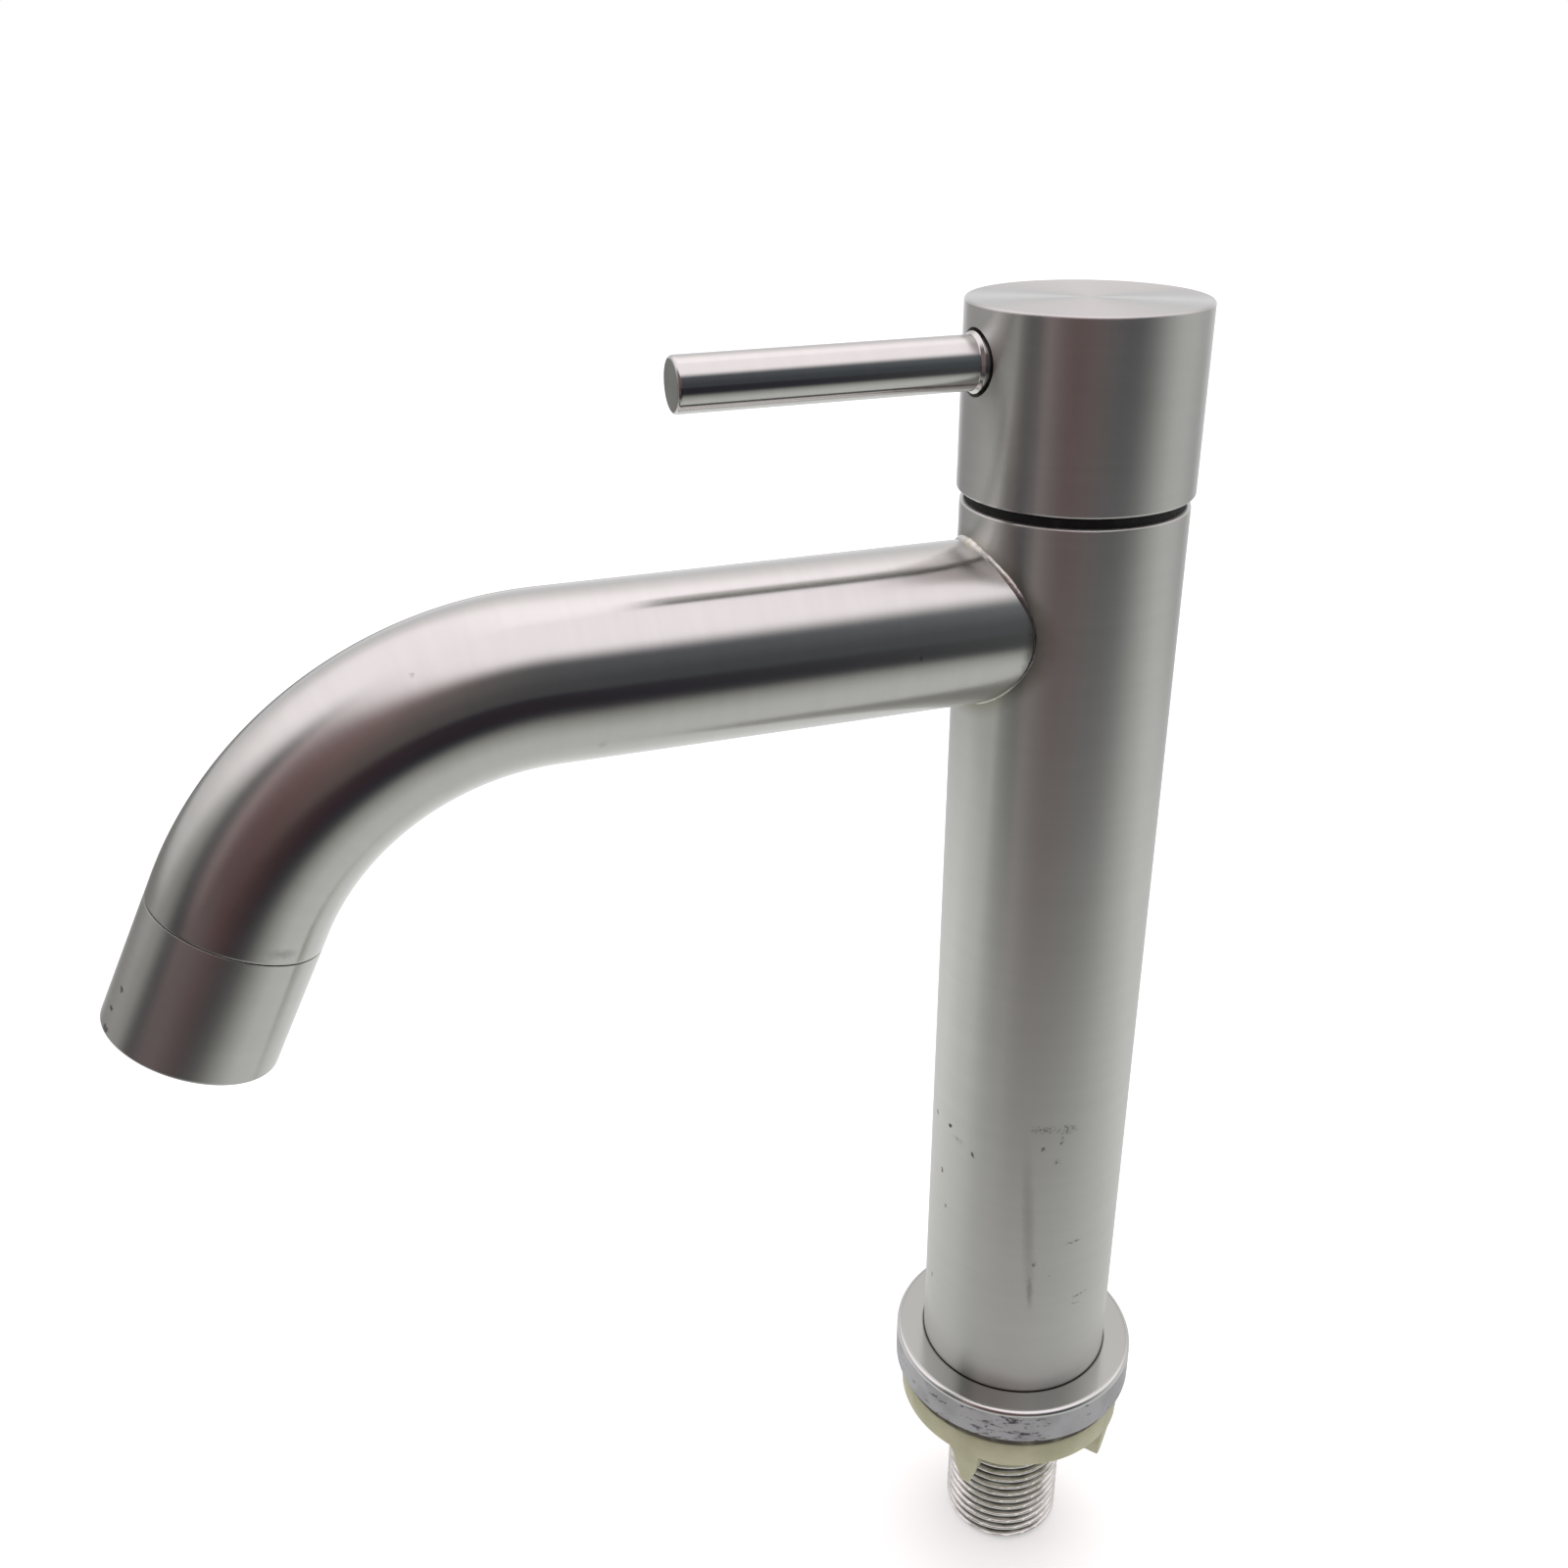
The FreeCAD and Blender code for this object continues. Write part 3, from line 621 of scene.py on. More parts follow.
@dataclass(frozen=True)
class BrushedSteel:
    """Stainless steel ground round its axis, so that reflections spread along it.

    Attributes:
        name: The material's name.
        colour: Reflection colour.
        roughness: Mean roughness.
        anisotropy: How far reflections spread along the piece.
        line_pitch: Spacing of the grinding lines.
        line_length: Length of a grinding line.
        line_depth: Depth of the lines.
        line_dull: How far the lines vary the roughness, as a share of it.
        broad_pitch: Spacing of the broader lines, as a multiple of the fine ones'.
        broad_depth: Depth of the broader lines, as a share of the fine ones'.
        broad_shade: Brightness of their dark parts, as a share of the colour's.
        cloud: How far broad patches vary the roughness.
        clouds: The broad patches.
        wear: Nicks and scuffs.
        weld_tint_and_shade: Straw tint and painted shade round a weld.
    """

    name: str
    colour: Colour = (0.66, 0.655, 0.635)
    roughness: float = 0.36
    anisotropy: float = 0.95
    line_pitch: float = 0.20 * MM
    line_length: float = 14.0 * MM
    line_depth: float = 0.0012 * MM
    line_dull: float = 0.2
    broad_pitch: float = 9.0
    broad_depth: float = 0.3
    broad_shade: float = 0.975
    cloud: float = 0.03
    clouds: Pattern = Pattern(95.0, 4.0, 0.6)
    wear: Wear | None = None
    weld_tint_and_shade: WeldTintAndShade | None = None

    def make(self) -> Material:
        """Builds the material.

        Returns:
            The material.
        """
        sheet = Sheet.of_material(self.name)
        grain = sheet.grain()
        across, along = 1.0 / self.line_length, 1.0 / self.line_pitch
        lines = sheet.pattern(grain, Pattern((across, across, along), 4.0, 0.65))
        broad = sheet.pattern(grain, Pattern((across / 2, across / 2, along / self.broad_pitch), 3.0, 0.6))
        cloud = sheet.times(sheet.pattern(grain, self.clouds), self.cloud)
        rough = sheet.plus(self.roughness - self.cloud / 2, cloud)
        rough = sheet.plus(rough, sheet.times(sheet.minus(lines, 0.5), self.roughness * self.line_dull))
        colour = sheet.mix(sheet.spread(broad, 0.3, 0.7), dimmed(self.colour, self.broad_shade), self.colour)
        height = sheet.plus(lines, sheet.times(broad, self.broad_depth))
        if self.weld_tint_and_shade:
            # Straw tint round the weld, with painted shade at its sides.
            colour = self.weld_tint_and_shade.tinted(sheet, colour)
        if self.wear:
            worn = self.wear.share(sheet, grain)
            colour = sheet.mix(worn, colour, self.wear.colour)
            rough = sheet.plus(rough, sheet.times(worn, self.wear.dull))
            height = sheet.minus(height, sheet.times(worn, self.wear.relief))
        return sheet.finish(colour, rough, height, self.line_depth, **sheet.brushed(self.anisotropy))


@dataclass(frozen=True)
class WeldSteel:
    """Welded steel, bright at the top and bottom of the seam and with painted shade at its sides.

    Attributes:
        name: The material's name.
        bright: Colour of the weld away from its painted shade.
        tint: Its straw-coloured heat tint.
        painted_shade: Colour of the painted shade at the sides.
        middle: Height of the seam's middle.
        shade_reach: Distance above and below the middle up to which the weld has its full painted shade.
        unshaded: Distance past which it has no painted shade.
        patches: Pattern of the heat tint.
        shine: Pattern of the roughness.
        rough: Least and most roughness.
        grit: Pattern of the relief.
        relief: Depth of the relief.
    """

    name: str = "weld steel"
    bright: Colour = (0.74, 0.73, 0.70)
    tint: Colour = (0.60, 0.56, 0.44)
    # Painted shade at the weld's sides.
    painted_shade: Colour = (0.30, 0.29, 0.29)
    middle: float = 147.2 * MM
    shade_reach: float = 6.0 * MM
    unshaded: float = 8.0 * MM
    patches: Pattern = Pattern(420.0, 3.0, 0.5, 0.45, 0.7)
    shine: Pattern = Pattern(900.0)
    rough: tuple[float, float] = (0.22, 0.46)
    grit: Pattern = Pattern(2600.0)
    relief: float = 0.05 * MM

    def make(self) -> Material:
        """Builds the material.

        Returns:
            The material.
        """
        sheet = Sheet.of_material(self.name)
        place = sheet.place()
        away = sheet.maths("ABSOLUTE", sheet.minus(sheet.split(place)[2], self.middle))
        unshaded = sheet.mix(sheet.pattern(place, self.patches), self.bright, self.tint)
        # Painted shade: the weld goes dark at its sides, away from the seam's top and bottom.
        colour = sheet.mix(sheet.fade(away, self.shade_reach, self.unshaded), unshaded, self.painted_shade)
        rough = sheet.spread(sheet.pattern(place, self.shine), *NOISE_RANGE, *self.rough)
        return sheet.finish(colour, rough, sheet.pattern(place, self.grit), self.relief, Metallic=1.0)


@dataclass(frozen=True)
class ThreadSteel:
    """Bright cut thread, with painted shade in its roots and tool marks that follow the turns.

    Attributes:
        name: The material's name.
        bright: Colour of the crests.
        dark: Colour of the painted shade in the roots.
        crest_radius: Radius past which the thread is bright.
        root_radius: Radius under which it has its full painted shade.
        painted_shade: Pattern that makes the painted shade in the roots uneven.
        painted_shade_depth: How far it shifts the painted shade.
        lines: Pattern of the tool marks.
        rough: Roughness of the roots and of the crests.
        relief: Depth of the tool marks.
    """

    name: str = "thread steel"
    bright: Colour = (0.72, 0.71, 0.68)
    # Colour of the painted shade in the thread's roots.
    dark: Colour = (0.16, 0.15, 0.135)
    crest_radius: float = 10.8275 * MM
    root_radius: float = 10.0655 * MM
    painted_shade: Pattern = Pattern(300.0, 4.0)
    painted_shade_depth: float = 0.9 * MM
    lines: Pattern = Pattern((90.0, 90.0, 5200.0))
    rough: tuple[float, float] = (0.42, 0.2)
    relief: float = 0.01 * MM

    def make(self) -> Material:
        """Builds the material.

        Returns:
            The material.
        """
        sheet = Sheet.of_material(self.name)
        place = sheet.place()
        x, y, _ = sheet.split(place)
        painted_shade = sheet.times(sheet.pattern(place, self.painted_shade), self.painted_shade_depth)
        crest = sheet.spread(sheet.plus(sheet.hypotenuse(x, y), painted_shade), self.root_radius, self.crest_radius)
        # Painted shade: the thread goes dark towards its roots.
        colour = sheet.mix(crest, self.dark, self.bright)
        rough = sheet.spread(crest, 0.0, 1.0, *self.rough)
        return sheet.finish(colour, rough, sheet.pattern(place, self.lines), self.relief, Metallic=1.0)


@dataclass(frozen=True)
class FlangeSteel:
    """Turned face with a polished edge, over a dull rim that tools have scratched, and painted shade along
    the joint with the body.

    Attributes:
        name: The material's name.
        face: Colour of the turned face.
        edge: Colour of the polished edge.
        rim: Colour of the rim.
        scratch: Colour of the scratches.
        joint_shade: Colour of the painted shade along the joint with the body.
        rim_top: Height up to which the rim is dull.
        rim_blend: Half the height over which the rim turns into the edge.
        face_bottom: Height above which the face begins.
        face_blend: Half the height over which the edge turns into the face.
        joint: Radius of the joint with the body and radius at which its painted shade ends.
        worst: Middle of the rim's most scratched stretch.
        worst_reach: Distances from it between which the scratches get fewer.
        worst_share: How much more scratched it is.
        rings: Pattern of the turned rings.
        gouges: Pattern of the scratches.
        gouge_range: Values of that pattern at which a scratch begins and is at its deepest.
        patches: Pattern of the rim's darker patches.
        patch_shade: Their brightness, as a share of the rim's.
        rough: Roughness of the face and of the rim.
        anisotropy: How far reflections spread from the middle outwards.
        ring_share: How much the rings add to roughness and relief.
        relief: Depth of the scratches.
    """

    name: str = "flange steel"
    face: Colour = (0.45, 0.465, 0.44)
    edge: Colour = (0.70, 0.70, 0.69)
    rim: Colour = (0.585, 0.572, 0.60)
    scratch: Colour = (0.13, 0.12, 0.13)
    # Painted shade along the joint with the body.
    joint_shade: Colour = (0.02, 0.02, 0.02)
    rim_top: float = 5.75 * MM
    rim_blend: float = 0.1 * MM
    face_bottom: float = 6.64 * MM
    face_blend: float = 0.04 * MM
    joint: tuple[float, float] = (16.5 * MM, 17.0 * MM)
    worst: tuple[float, float, float] = (18.5 * MM, -10.9 * MM, 1.5 * MM)
    worst_reach: tuple[float, float] = (3.0 * MM, 14.0 * MM)
    worst_share: float = 0.06
    rings: Pattern = Pattern((60.0, 60.0, 4200.0), 4.0, 0.6)
    gouges: Pattern = Pattern((340.0, 340.0, 900.0), 5.0, 0.75)
    gouge_range: tuple[float, float] = (0.585, 0.67)
    patches: Pattern = Pattern(160.0, 3.0, 0.5, 0.35, 0.65)
    patch_shade: float = 0.8
    rough: tuple[float, float] = (0.14, 0.38)
    anisotropy: float = 0.7
    ring_share: tuple[float, float] = (0.05, 0.06)
    relief: float = 0.06 * MM

    def make(self) -> Material:
        """Builds the material.

        Returns:
            The material.
        """
        sheet = Sheet.of_material(self.name)
        grain, place = sheet.grain(), sheet.place()
        x, y, height = sheet.split(place)
        joint = sheet.fade(sheet.hypotenuse(x, y), *self.joint)
        on_rim = sheet.fade(height, self.rim_top - self.rim_blend, self.rim_top + self.rim_blend)
        on_face = sheet.spread(height, self.face_bottom - self.face_blend, self.face_bottom + self.face_blend)
        rings = sheet.pattern(grain, self.rings)
        away = sheet.vectors("DISTANCE", place, self.worst)["Value"]
        worst = sheet.fade(away, *self.worst_reach, self.worst_share)
        gouges = sheet.plus(sheet.pattern(place, self.gouges), worst)
        gouge = sheet.times(sheet.spread(gouges, *self.gouge_range), on_rim)
        rim = sheet.mix(sheet.pattern(place, self.patches), dimmed(self.rim, self.patch_shade), self.rim)
        colour = sheet.mix(on_rim, sheet.mix(on_face, self.edge, self.face), rim)
        # Painted shade: the face goes near black next to the body.
        colour = sheet.mix(joint, sheet.mix(gouge, colour, self.scratch), self.joint_shade)
        ring_rough, ring_relief = self.ring_share
        rough = sheet.plus(sheet.spread(on_rim, 0.0, 1.0, *self.rough), sheet.times(rings, ring_rough))
        relief = sheet.minus(sheet.times(rings, ring_relief), gouge)
        return sheet.finish(colour, rough, relief, self.relief, **sheet.brushed(self.anisotropy))


@dataclass(frozen=True)
class Moulded:
    """Moulded plastic, rubber, ceramic or fibre, mottled and with a fine surface.

    Attributes:
        name: The material's name.
        colour: Its main colour.
        second: The colour that the mottling brings in.
        rough: Least and most roughness.
        mottling: Pattern of the mottling.
        fine: Pattern of the fine surface.
        relief: Depth of the fine surface.
        glow: How much light passes through its skin.
        glow_colour: How far red, green and blue light goes in it, as shares of the depth.
        glow_depth: How deep the light goes.
    """

    name: str
    colour: Colour
    second: Colour
    rough: tuple[float, float] = (0.36, 0.50)
    mottling: Pattern = Pattern(130.0, 4.0, 0.5, 0.3, 0.7)
    fine: Pattern = Pattern(2600.0)
    relief: float = 0.02 * MM
    glow: float = 0.0
    glow_colour: Colour = (1.0, 0.9, 0.6)
    glow_depth: float = 1.5 * MM

    def make(self) -> Material:
        """Builds the material.

        Returns:
            The material.
        """
        sheet = Sheet.of_material(self.name)
        place = sheet.place()
        colour = sheet.mix(sheet.pattern(place, self.mottling), self.second, self.colour)
        fine = sheet.pattern(place, self.fine)
        skin = {
            "Subsurface Weight": self.glow,
            "Subsurface Radius": self.glow_colour,
            "Subsurface Scale": self.glow_depth,
        }
        return sheet.finish(colour, sheet.spread(fine, *NOISE_RANGE, *self.rough), fine, self.relief, **skin)


def rubber(name: str, colour: Colour = (0.035, 0.034, 0.030), dust: Colour = (0.13, 0.125, 0.105)) -> Moulded:
    """Matt moulded rubber, with dust in its grain.

    Args:
        name: The material's name.
        colour: Its colour.
        dust: Colour of the dust.

    Returns:
        The finish.
    """
    dusty = Pattern(480.0, 4.0, 0.5, 0.45, 0.8)
    return Moulded(name, dust, colour, (0.5, 0.72), dusty, Pattern(3200.0, 2.0), 0.03 * MM)


@dataclass(frozen=True)
class TurnedMetal:
    """Plain turned metal for the pieces inside, with tool lines round Z.

    Attributes:
        name: The material's name.
        colour: Its colour.
        roughness: Mean roughness.
        varies: How far the tool lines lower and raise it.
        lines: Pattern of the tool lines.
        stains: Pattern of the stains.
        stain_shade: Brightness of the stains, as a share of the colour's.
        relief: Depth of the tool lines.
    """

    name: str
    colour: Colour
    roughness: float = 0.32
    varies: tuple[float, float] = (0.07, 0.1)
    lines: Pattern = Pattern((70.0, 70.0, 3600.0))
    stains: Pattern = Pattern(210.0, 4.0, 0.5, 0.35, 0.7)
    stain_shade: float = 0.72
    relief: float = 0.012 * MM

    def make(self) -> Material:
        """Builds the material.

        Returns:
            The material.
        """
        sheet = Sheet.of_material(self.name)
        place = sheet.place()
        lines = sheet.pattern(place, self.lines)
        stained = dimmed(self.colour, self.stain_shade)
        colour = sheet.mix(sheet.pattern(place, self.stains), stained, self.colour)
        less, more = self.varies
        rough = sheet.spread(lines, *NOISE_RANGE, self.roughness - less, self.roughness + more)
        return sheet.finish(colour, rough, lines, self.relief, Metallic=1.0)


def add_piece(
    name: str,
    patches: list[Patch],
    material: Material,
    body: Body,
    slot: Slot,
    node: str,
    crease: float = 38.0,
) -> None:
    """Makes a new piece and puts it in a node's place.

    Args:
        name: The piece's name.
        patches: Its surface.
        material: Its finish.
        body: The body that it rides on.
        slot: The record's slot for its finish. Not used.
        node: The node that it stands for.
        crease: Angle in degrees past which an edge stays sharp.
    """
    mesh = make_mesh(name, patches, crease)
    mesh.materials.append(material)
    piece = bpy.data.objects.new(name, mesh)
    bpy.context.scene.collection.objects.link(piece)
    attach(piece, body.value)
    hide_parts(node)
    log.info("%s: %d faces, rides on %s", name, len(mesh.polygons), body.value)


def dress_node(node: str, material: Material) -> None:
    """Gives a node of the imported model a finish.

    Args:
        node: The node's name.
        material: The finish.
    """
    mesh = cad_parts[node].data
    mesh.materials.clear()
    mesh.materials.append(material)
    log.info("%s: dressed with %s", node, material.name)


@dataclass(frozen=True)
class Hole:
    """A hole drilled towards the axis of a round wall.

    Attributes:
        azimuth: Where it is round the axis, in degrees from +X.
        height: Height of its centre.
        mouth: Its radius where it meets the wall.
        outline: Its own outline past the mouth, as (radius, distance from the axis).
        margin: Least width of the wall's patch round it.
    """

    azimuth: float
    height: float
    mouth: float
    outline: tuple[tuple[float, float], ...]
    margin: float = 0.8 * MM


@dataclass(frozen=True)
class DrilledWall:
    """Round wall with holes drilled towards its axis.

    The wall is a grid of azimuths and heights. Round each hole a window of cells is left out, and a patch
    fills it whose rows run from the window's border to the hole's edge, in even shares of azimuth and
    height.

    Attributes:
        radius: The wall's radius.
        bottom: Its lowest height.
        top: Its highest height.
        columns: Steps round the axis.
        rows: Steps in height.
        holes: The holes.
        rings: Steps from a window's border to its hole.
    """

    radius: float
    bottom: float
    top: float
    columns: int
    rows: int
    holes: tuple[Hole, ...]
    rings: int = 5

    def grid(self) -> tuple[Array, Array]:
        """Azimuths of the columns and heights of the rows."""
        return circle(self.columns), np.linspace(self.bottom, self.top, self.rows + 1)

    def window(self, hole: Hole) -> tuple[int, int, int, int]:
        """Finds a hole's window.

        Args:
            hole: The hole.

        Returns:
            Its first and last column and its first and last row.
        """
        reach = hole.mouth + hole.margin
        step, rise = ROUND / self.columns, (self.top - self.bottom) / self.rows
        middle = math.radians(hole.azimuth % 360.0)
        swing = math.asin(min(reach / self.radius, 1.0))
        low, high = hole.height - reach - self.bottom, hole.height + reach - self.bottom
        ends = math.floor((middle - swing) / step), math.ceil((middle + swing) / step)
        return *ends, math.floor(low / rise), math.ceil(high / rise)

    def patch(self, turn: Array, height: Array, keep: Array | None = None) -> Patch:
        """Patch of the wall from azimuths and heights."""
        return round_patch(self.radius, turn, height, height, turn * self.radius, keep)

    def around(self, hole: Hole) -> list[Patch]:
        """The patch round a hole and the hole's own wall.

        The hole is a surface of revolution about a line square to the axis. Its mouth is where its first
        radius meets the wall, at azimuth asin(u / R) and height v from its centre, with (u, v) once round a
        circle.

        Args:
            hole: The hole.

        Returns:
            The two patches.
        """
        left, right, low, high = self.window(hole)
        across, up = np.arange(left, right), np.arange(low, high)
        columns = np.concatenate([across, 0 * up + right, across[::-1] + 1, 0 * up + left, [left]])
        rows = np.concatenate([0 * across + low, up, 0 * across + high, up[::-1] + 1, [low]])
        turns, heights = self.grid()
        turn, height = turns[columns], heights[rows]
        middle = math.radians(hole.azimuth % 360.0)
        angle = np.arctan2(height - hole.height, (turn - middle) * self.radius)
        edge_turn = middle + np.arcsin(hole.mouth * np.cos(angle) / self.radius)
        edge_height = hole.height + hole.mouth * np.sin(angle)
        share = np.linspace(0.0, 1.0, self.rings + 1)[:, None]
        skin = self.patch(turn + (edge_turn - turn) * share, height + (edge_height - height) * share)
        radii, depths = np.hsplit(np.array([(hole.mouth, 0.0), *hole.outline]), 2)
        mouth_depth = np.sqrt(self.radius**2 - (hole.mouth * np.cos(angle)) ** 2)
        depths = np.vstack([mouth_depth, depths[1:] + 0 * angle])
        sideways, lift = radii * np.cos(angle), radii * np.sin(angle)
        x = depths * math.cos(middle) - sideways * math.sin(middle)
        y = depths * math.sin(middle) + sideways * math.cos(middle)
        points = stack(x, y, hole.height + lift)
        return [skin, Patch(points, stack(sideways, lift, depths), stack(depths, angle * hole.mouth))]

    def patches(self) -> list[Patch]:
        """Builds the wall and its holes.

        Returns:
            The wall's grid without the windows, and the patches of each hole.
        """
        turns, heights = self.grid()
        keep = np.ones((self.rows, self.columns), dtype=bool)
        for hole in self.holes:
            left, right, low, high = self.window(hole)
            keep[low:high, left:right] = False
        parts = [self.patch(turns[None, :], heights[:, None], keep)]
        for hole in self.holes:
            parts.extend(self.around(hole))
        return parts


@dataclass
class BodyTube:
    """The upright tube and the black ring on its rim, made near black to paint the shade in the gap under the
    head.
    """

    radius: float = 16.5 * MM
    wall: float = 1.2 * MM
    bottom: float = 6.7 * MM
    top: float = 164.0 * MM
    foot_round: float = 0.22 * MM
    rim_round: float = 0.35 * MM
    inner_round: float = 0.12 * MM
    foot_cut: float = 0.1 * MM
    columns: int = 192
    # Straw tint round the spout's weld, with painted shade at its sides.
    weld_tint_and_shade: WeldTintAndShade = WeldTintAndShade(147.2 * MM, 12.0 * MM, 2.8 * MM)
    marks: tuple[Mark, ...] = marks_in_mm(
        (-97.0, 58.3, 0.6, 1.4, 20.0, 0.9), (-80.5, 58.6, 1.3, 1.0, 10.0, 1.0),
        (-73.0, 57.2, 3.4, 1.3, -6.0, 0.3), (-61.0, 55.9, 0.5, 1.7, 18.0, 1.0),
        (-87.0, 48.0, 0.6, 1.3, 15.0, 0.9), (-81.5, 41.4, 0.6, 1.1, 10.0, 0.9),
        (-94.5, 22.7, 0.6, 1.5, 0.0, 0.8), (-21.0, 64.2, 5.4, 2.0, 0.0, 0.38),
        (-7.0, 64.0, 4.8, 2.4, 0.0, 0.38), (-20.1, 60.2, 1.3, 1.3, 0.0, 0.6),
        (-9.3, 61.8, 0.9, 2.2, -10.0, 0.6), (-11.2, 57.4, 1.1, 2.0, 15.0, 0.55),
        (-25.0, 44.0, 3.0, 46.0, 4.0, 0.17, True), (-21.6, 30.5, 1.6, 12.0, 4.0, 0.3, True),
        (4.0, 39.8, 3.6, 0.5, 2.0, 0.74), (13.0, 27.3, 4.6, 0.4, 6.0, 0.7),
        (9.0, 25.6, 2.6, 0.35, -4.0, 0.5), (-20.4, 36.2, 1.7, 1.5, 0.0, 0.5),
        (-10.1, 33.4, 0.7, 0.5, 0.0, 0.74),
    )

    def build(self) -> None:
        """Makes the tube and dresses the ring."""
        inner = self.radius - self.wall
        outline = rounded([
            (inner, self.bottom, 0.0),
            (self.radius, self.bottom, self.foot_round),
            (self.radius, self.top, self.rim_round),
            (inner, self.top, self.inner_round),
        ])
        wear = Wear(self.marks, self.radius, self.bottom - self.wall + self.foot_cut)
        steel = BrushedSteel("body steel", roughness=0.31, wear=wear, weld_tint_and_shade=self.weld_tint_and_shade)
        tube = turned(outline, self.columns)
        add_piece("body_shell", [tube], steel.make(), Body.FIXED, Slot.BRUSHED, "body_tube")
        # The trim ring is black, and made near black to paint the shade in the gap under the head.
        dress_node("trim_ring", rubber("trim black with painted gap shade", (0.004, 0.004, 0.005), (0.012, 0.012, 0.012)).make())


@dataclass
class Spout:
    """The bent spout, the weld at its root and the aerator housing at its end."""

    radius: float = 12.0 * MM
    wall: float = 1.0 * MM
    body_radius: float = 16.5 * MM
    height: float = 147.2 * MM
    straight: float = 78.3 * MM
    bend_radius: float = 48.0 * MM
    bend: float = math.radians(63.5)
    tail: float = 2.2 * MM
    seam: float = 0.15 * MM
    lip: float = 0.3 * MM
    housing_length: float = 18.9 * MM
    housing_wall: float = 1.3 * MM
    mouth_radius: float = 9.6 * MM
    mouth_round: float = 0.25 * MM
    rim_round: float = 0.47 * MM
    shoulder: float = 9.8 * MM
    edge: float = 0.1 * MM
    bead: float = 0.62 * MM
    bead_sink: float = 0.12
    bead_width: float = 1.25
    bead_least: float = 0.35
    bead_power: int = 6
    ripples: tuple[tuple[float, float, float], ...] = ((0.02, 46.0, 0.0), (0.10, 7.0, 1.3), (0.03, 19.0, 0.0))
    bead_steps: tuple[int, int] = (360, 16)
    columns: int = 144
    straight_steps: tuple[float, ...] = (0.0, 0.004, 0.02, *np.linspace(0.08, 1.0, 12))
    bend_steps: int = 72
    smudges_and_root_shade: tuple[Mark, ...] = marks_in_mm(
        (115.0, 132.0, 5.6, 2.2, 0.0, 0.3, True), (115.0, 131.9, 3.0, 1.0, 0.0, 0.25, True),
        # The wide even mark at 95 degrees, at the spout's root, is painted shade next to the weld.
        (95.0, 11.3, 24.0, 4.4, 0.0, 0.7, True), (89.0, 28.8, 0.9, 0.7, 0.0, 0.8),
        (44.5, 94.1, 1.1, 0.9, 0.0, 0.25, True), (124.5, 73.3, 2.6, 1.6, 20.0, 0.16, True),
    )
    pits: tuple[Mark, ...] = marks_in_mm(
        (68.8, 11.6, 1.3, 1.1, 0.0, 0.9), (72.0, 15.1, 1.6, 1.2, 0.0, 1.0),
        (70.5, 17.9, 2.6, 1.3, 0.0, 0.9),
    )

    def point(self, run: Array, radius: Array, angle: Array) -> Array:
        """Point of the spout's surface.

        The centre line runs straight, then on an arc, then straight again. The point lies off it by
        radius * (cos(angle) * upwards normal + sin(angle) * X).

        Args:
            run: Length along the centre line, from the body's axis.
            radius: Distance from the centre line.
            angle: Angle round it, from the top.

        Returns:
            The points, with 3 as the last size.
        """
        swing = np.clip((run - self.straight) / self.bend_radius, 0.0, self.bend)
        rest = np.maximum(run - self.straight - self.bend_radius * self.bend, 0.0)
        ahead = np.minimum(run, self.straight) + self.bend_radius * np.sin(swing) + rest * np.cos(swing)
        drop = self.bend_radius * (1 - np.cos(swing)) + rest * np.sin(swing)
        lift = radius * np.cos(angle)
        y, z = -ahead - lift * np.sin(swing), self.height - drop + lift * np.cos(swing)
        return stack(radius * np.sin(angle), y, z)

    def end(self) -> float:
        """Length along the centre line at the seam."""
        return self.straight + self.bend_radius * self.bend + self.tail

    def root(self, radius: float, angle: Array) -> Array:
        """Where a radius meets the body along the centre line, by angle: sqrt(R^2 - (r sin a)^2)."""
        return np.sqrt(self.body_radius**2 - (radius * np.sin(angle)) ** 2)

    def tube(self) -> Patch:
        """The tube, with its root cut to sit on the body.

        Returns:
            The patch, whose rows run along the outside, over the lip and back along the inside.
        """
        angle = circle(self.columns)
        bend_end = self.straight + self.bend_radius * self.bend
        share = np.array(self.straight_steps)[:, None]
        bends = np.linspace(self.straight, bend_end, self.bend_steps + 1)[1:, None] + 0 * angle
        inner = self.radius - self.wall
        outer_root, inner_root = self.root(self.radius, angle), self.root(inner, angle)
        outer_run = outer_root + (self.straight - outer_root) * share
        inner_run = inner_root + (self.straight - inner_root) * share
        small = self.edge / 3
        lip_run, lip_drop = np.hsplit(np.array([
            (-self.lip, 0.0),
            (-self.edge, 0.0),
            (-small, small),
            (0.0, self.edge),
            (0.0, self.wall),
        ]), 2)
        run = np.vstack([outer_run, bends, self.end() + lip_run + 0 * angle, bends[::-1], inner_run[::-1]])
        outer = np.full((len(outer_run) + len(bends), 1), self.radius)
        radius = np.vstack([outer, self.radius - lip_drop, 0 * outer + inner])
        run, radius = np.vstack([run, run[:1]]), np.vstack([radius, radius[:1]])
        grain = stack(radius * np.cos(angle), radius * np.sin(angle), run)
        return Patch(self.point(run, radius, angle), grain, stack(run, angle * self.radius))

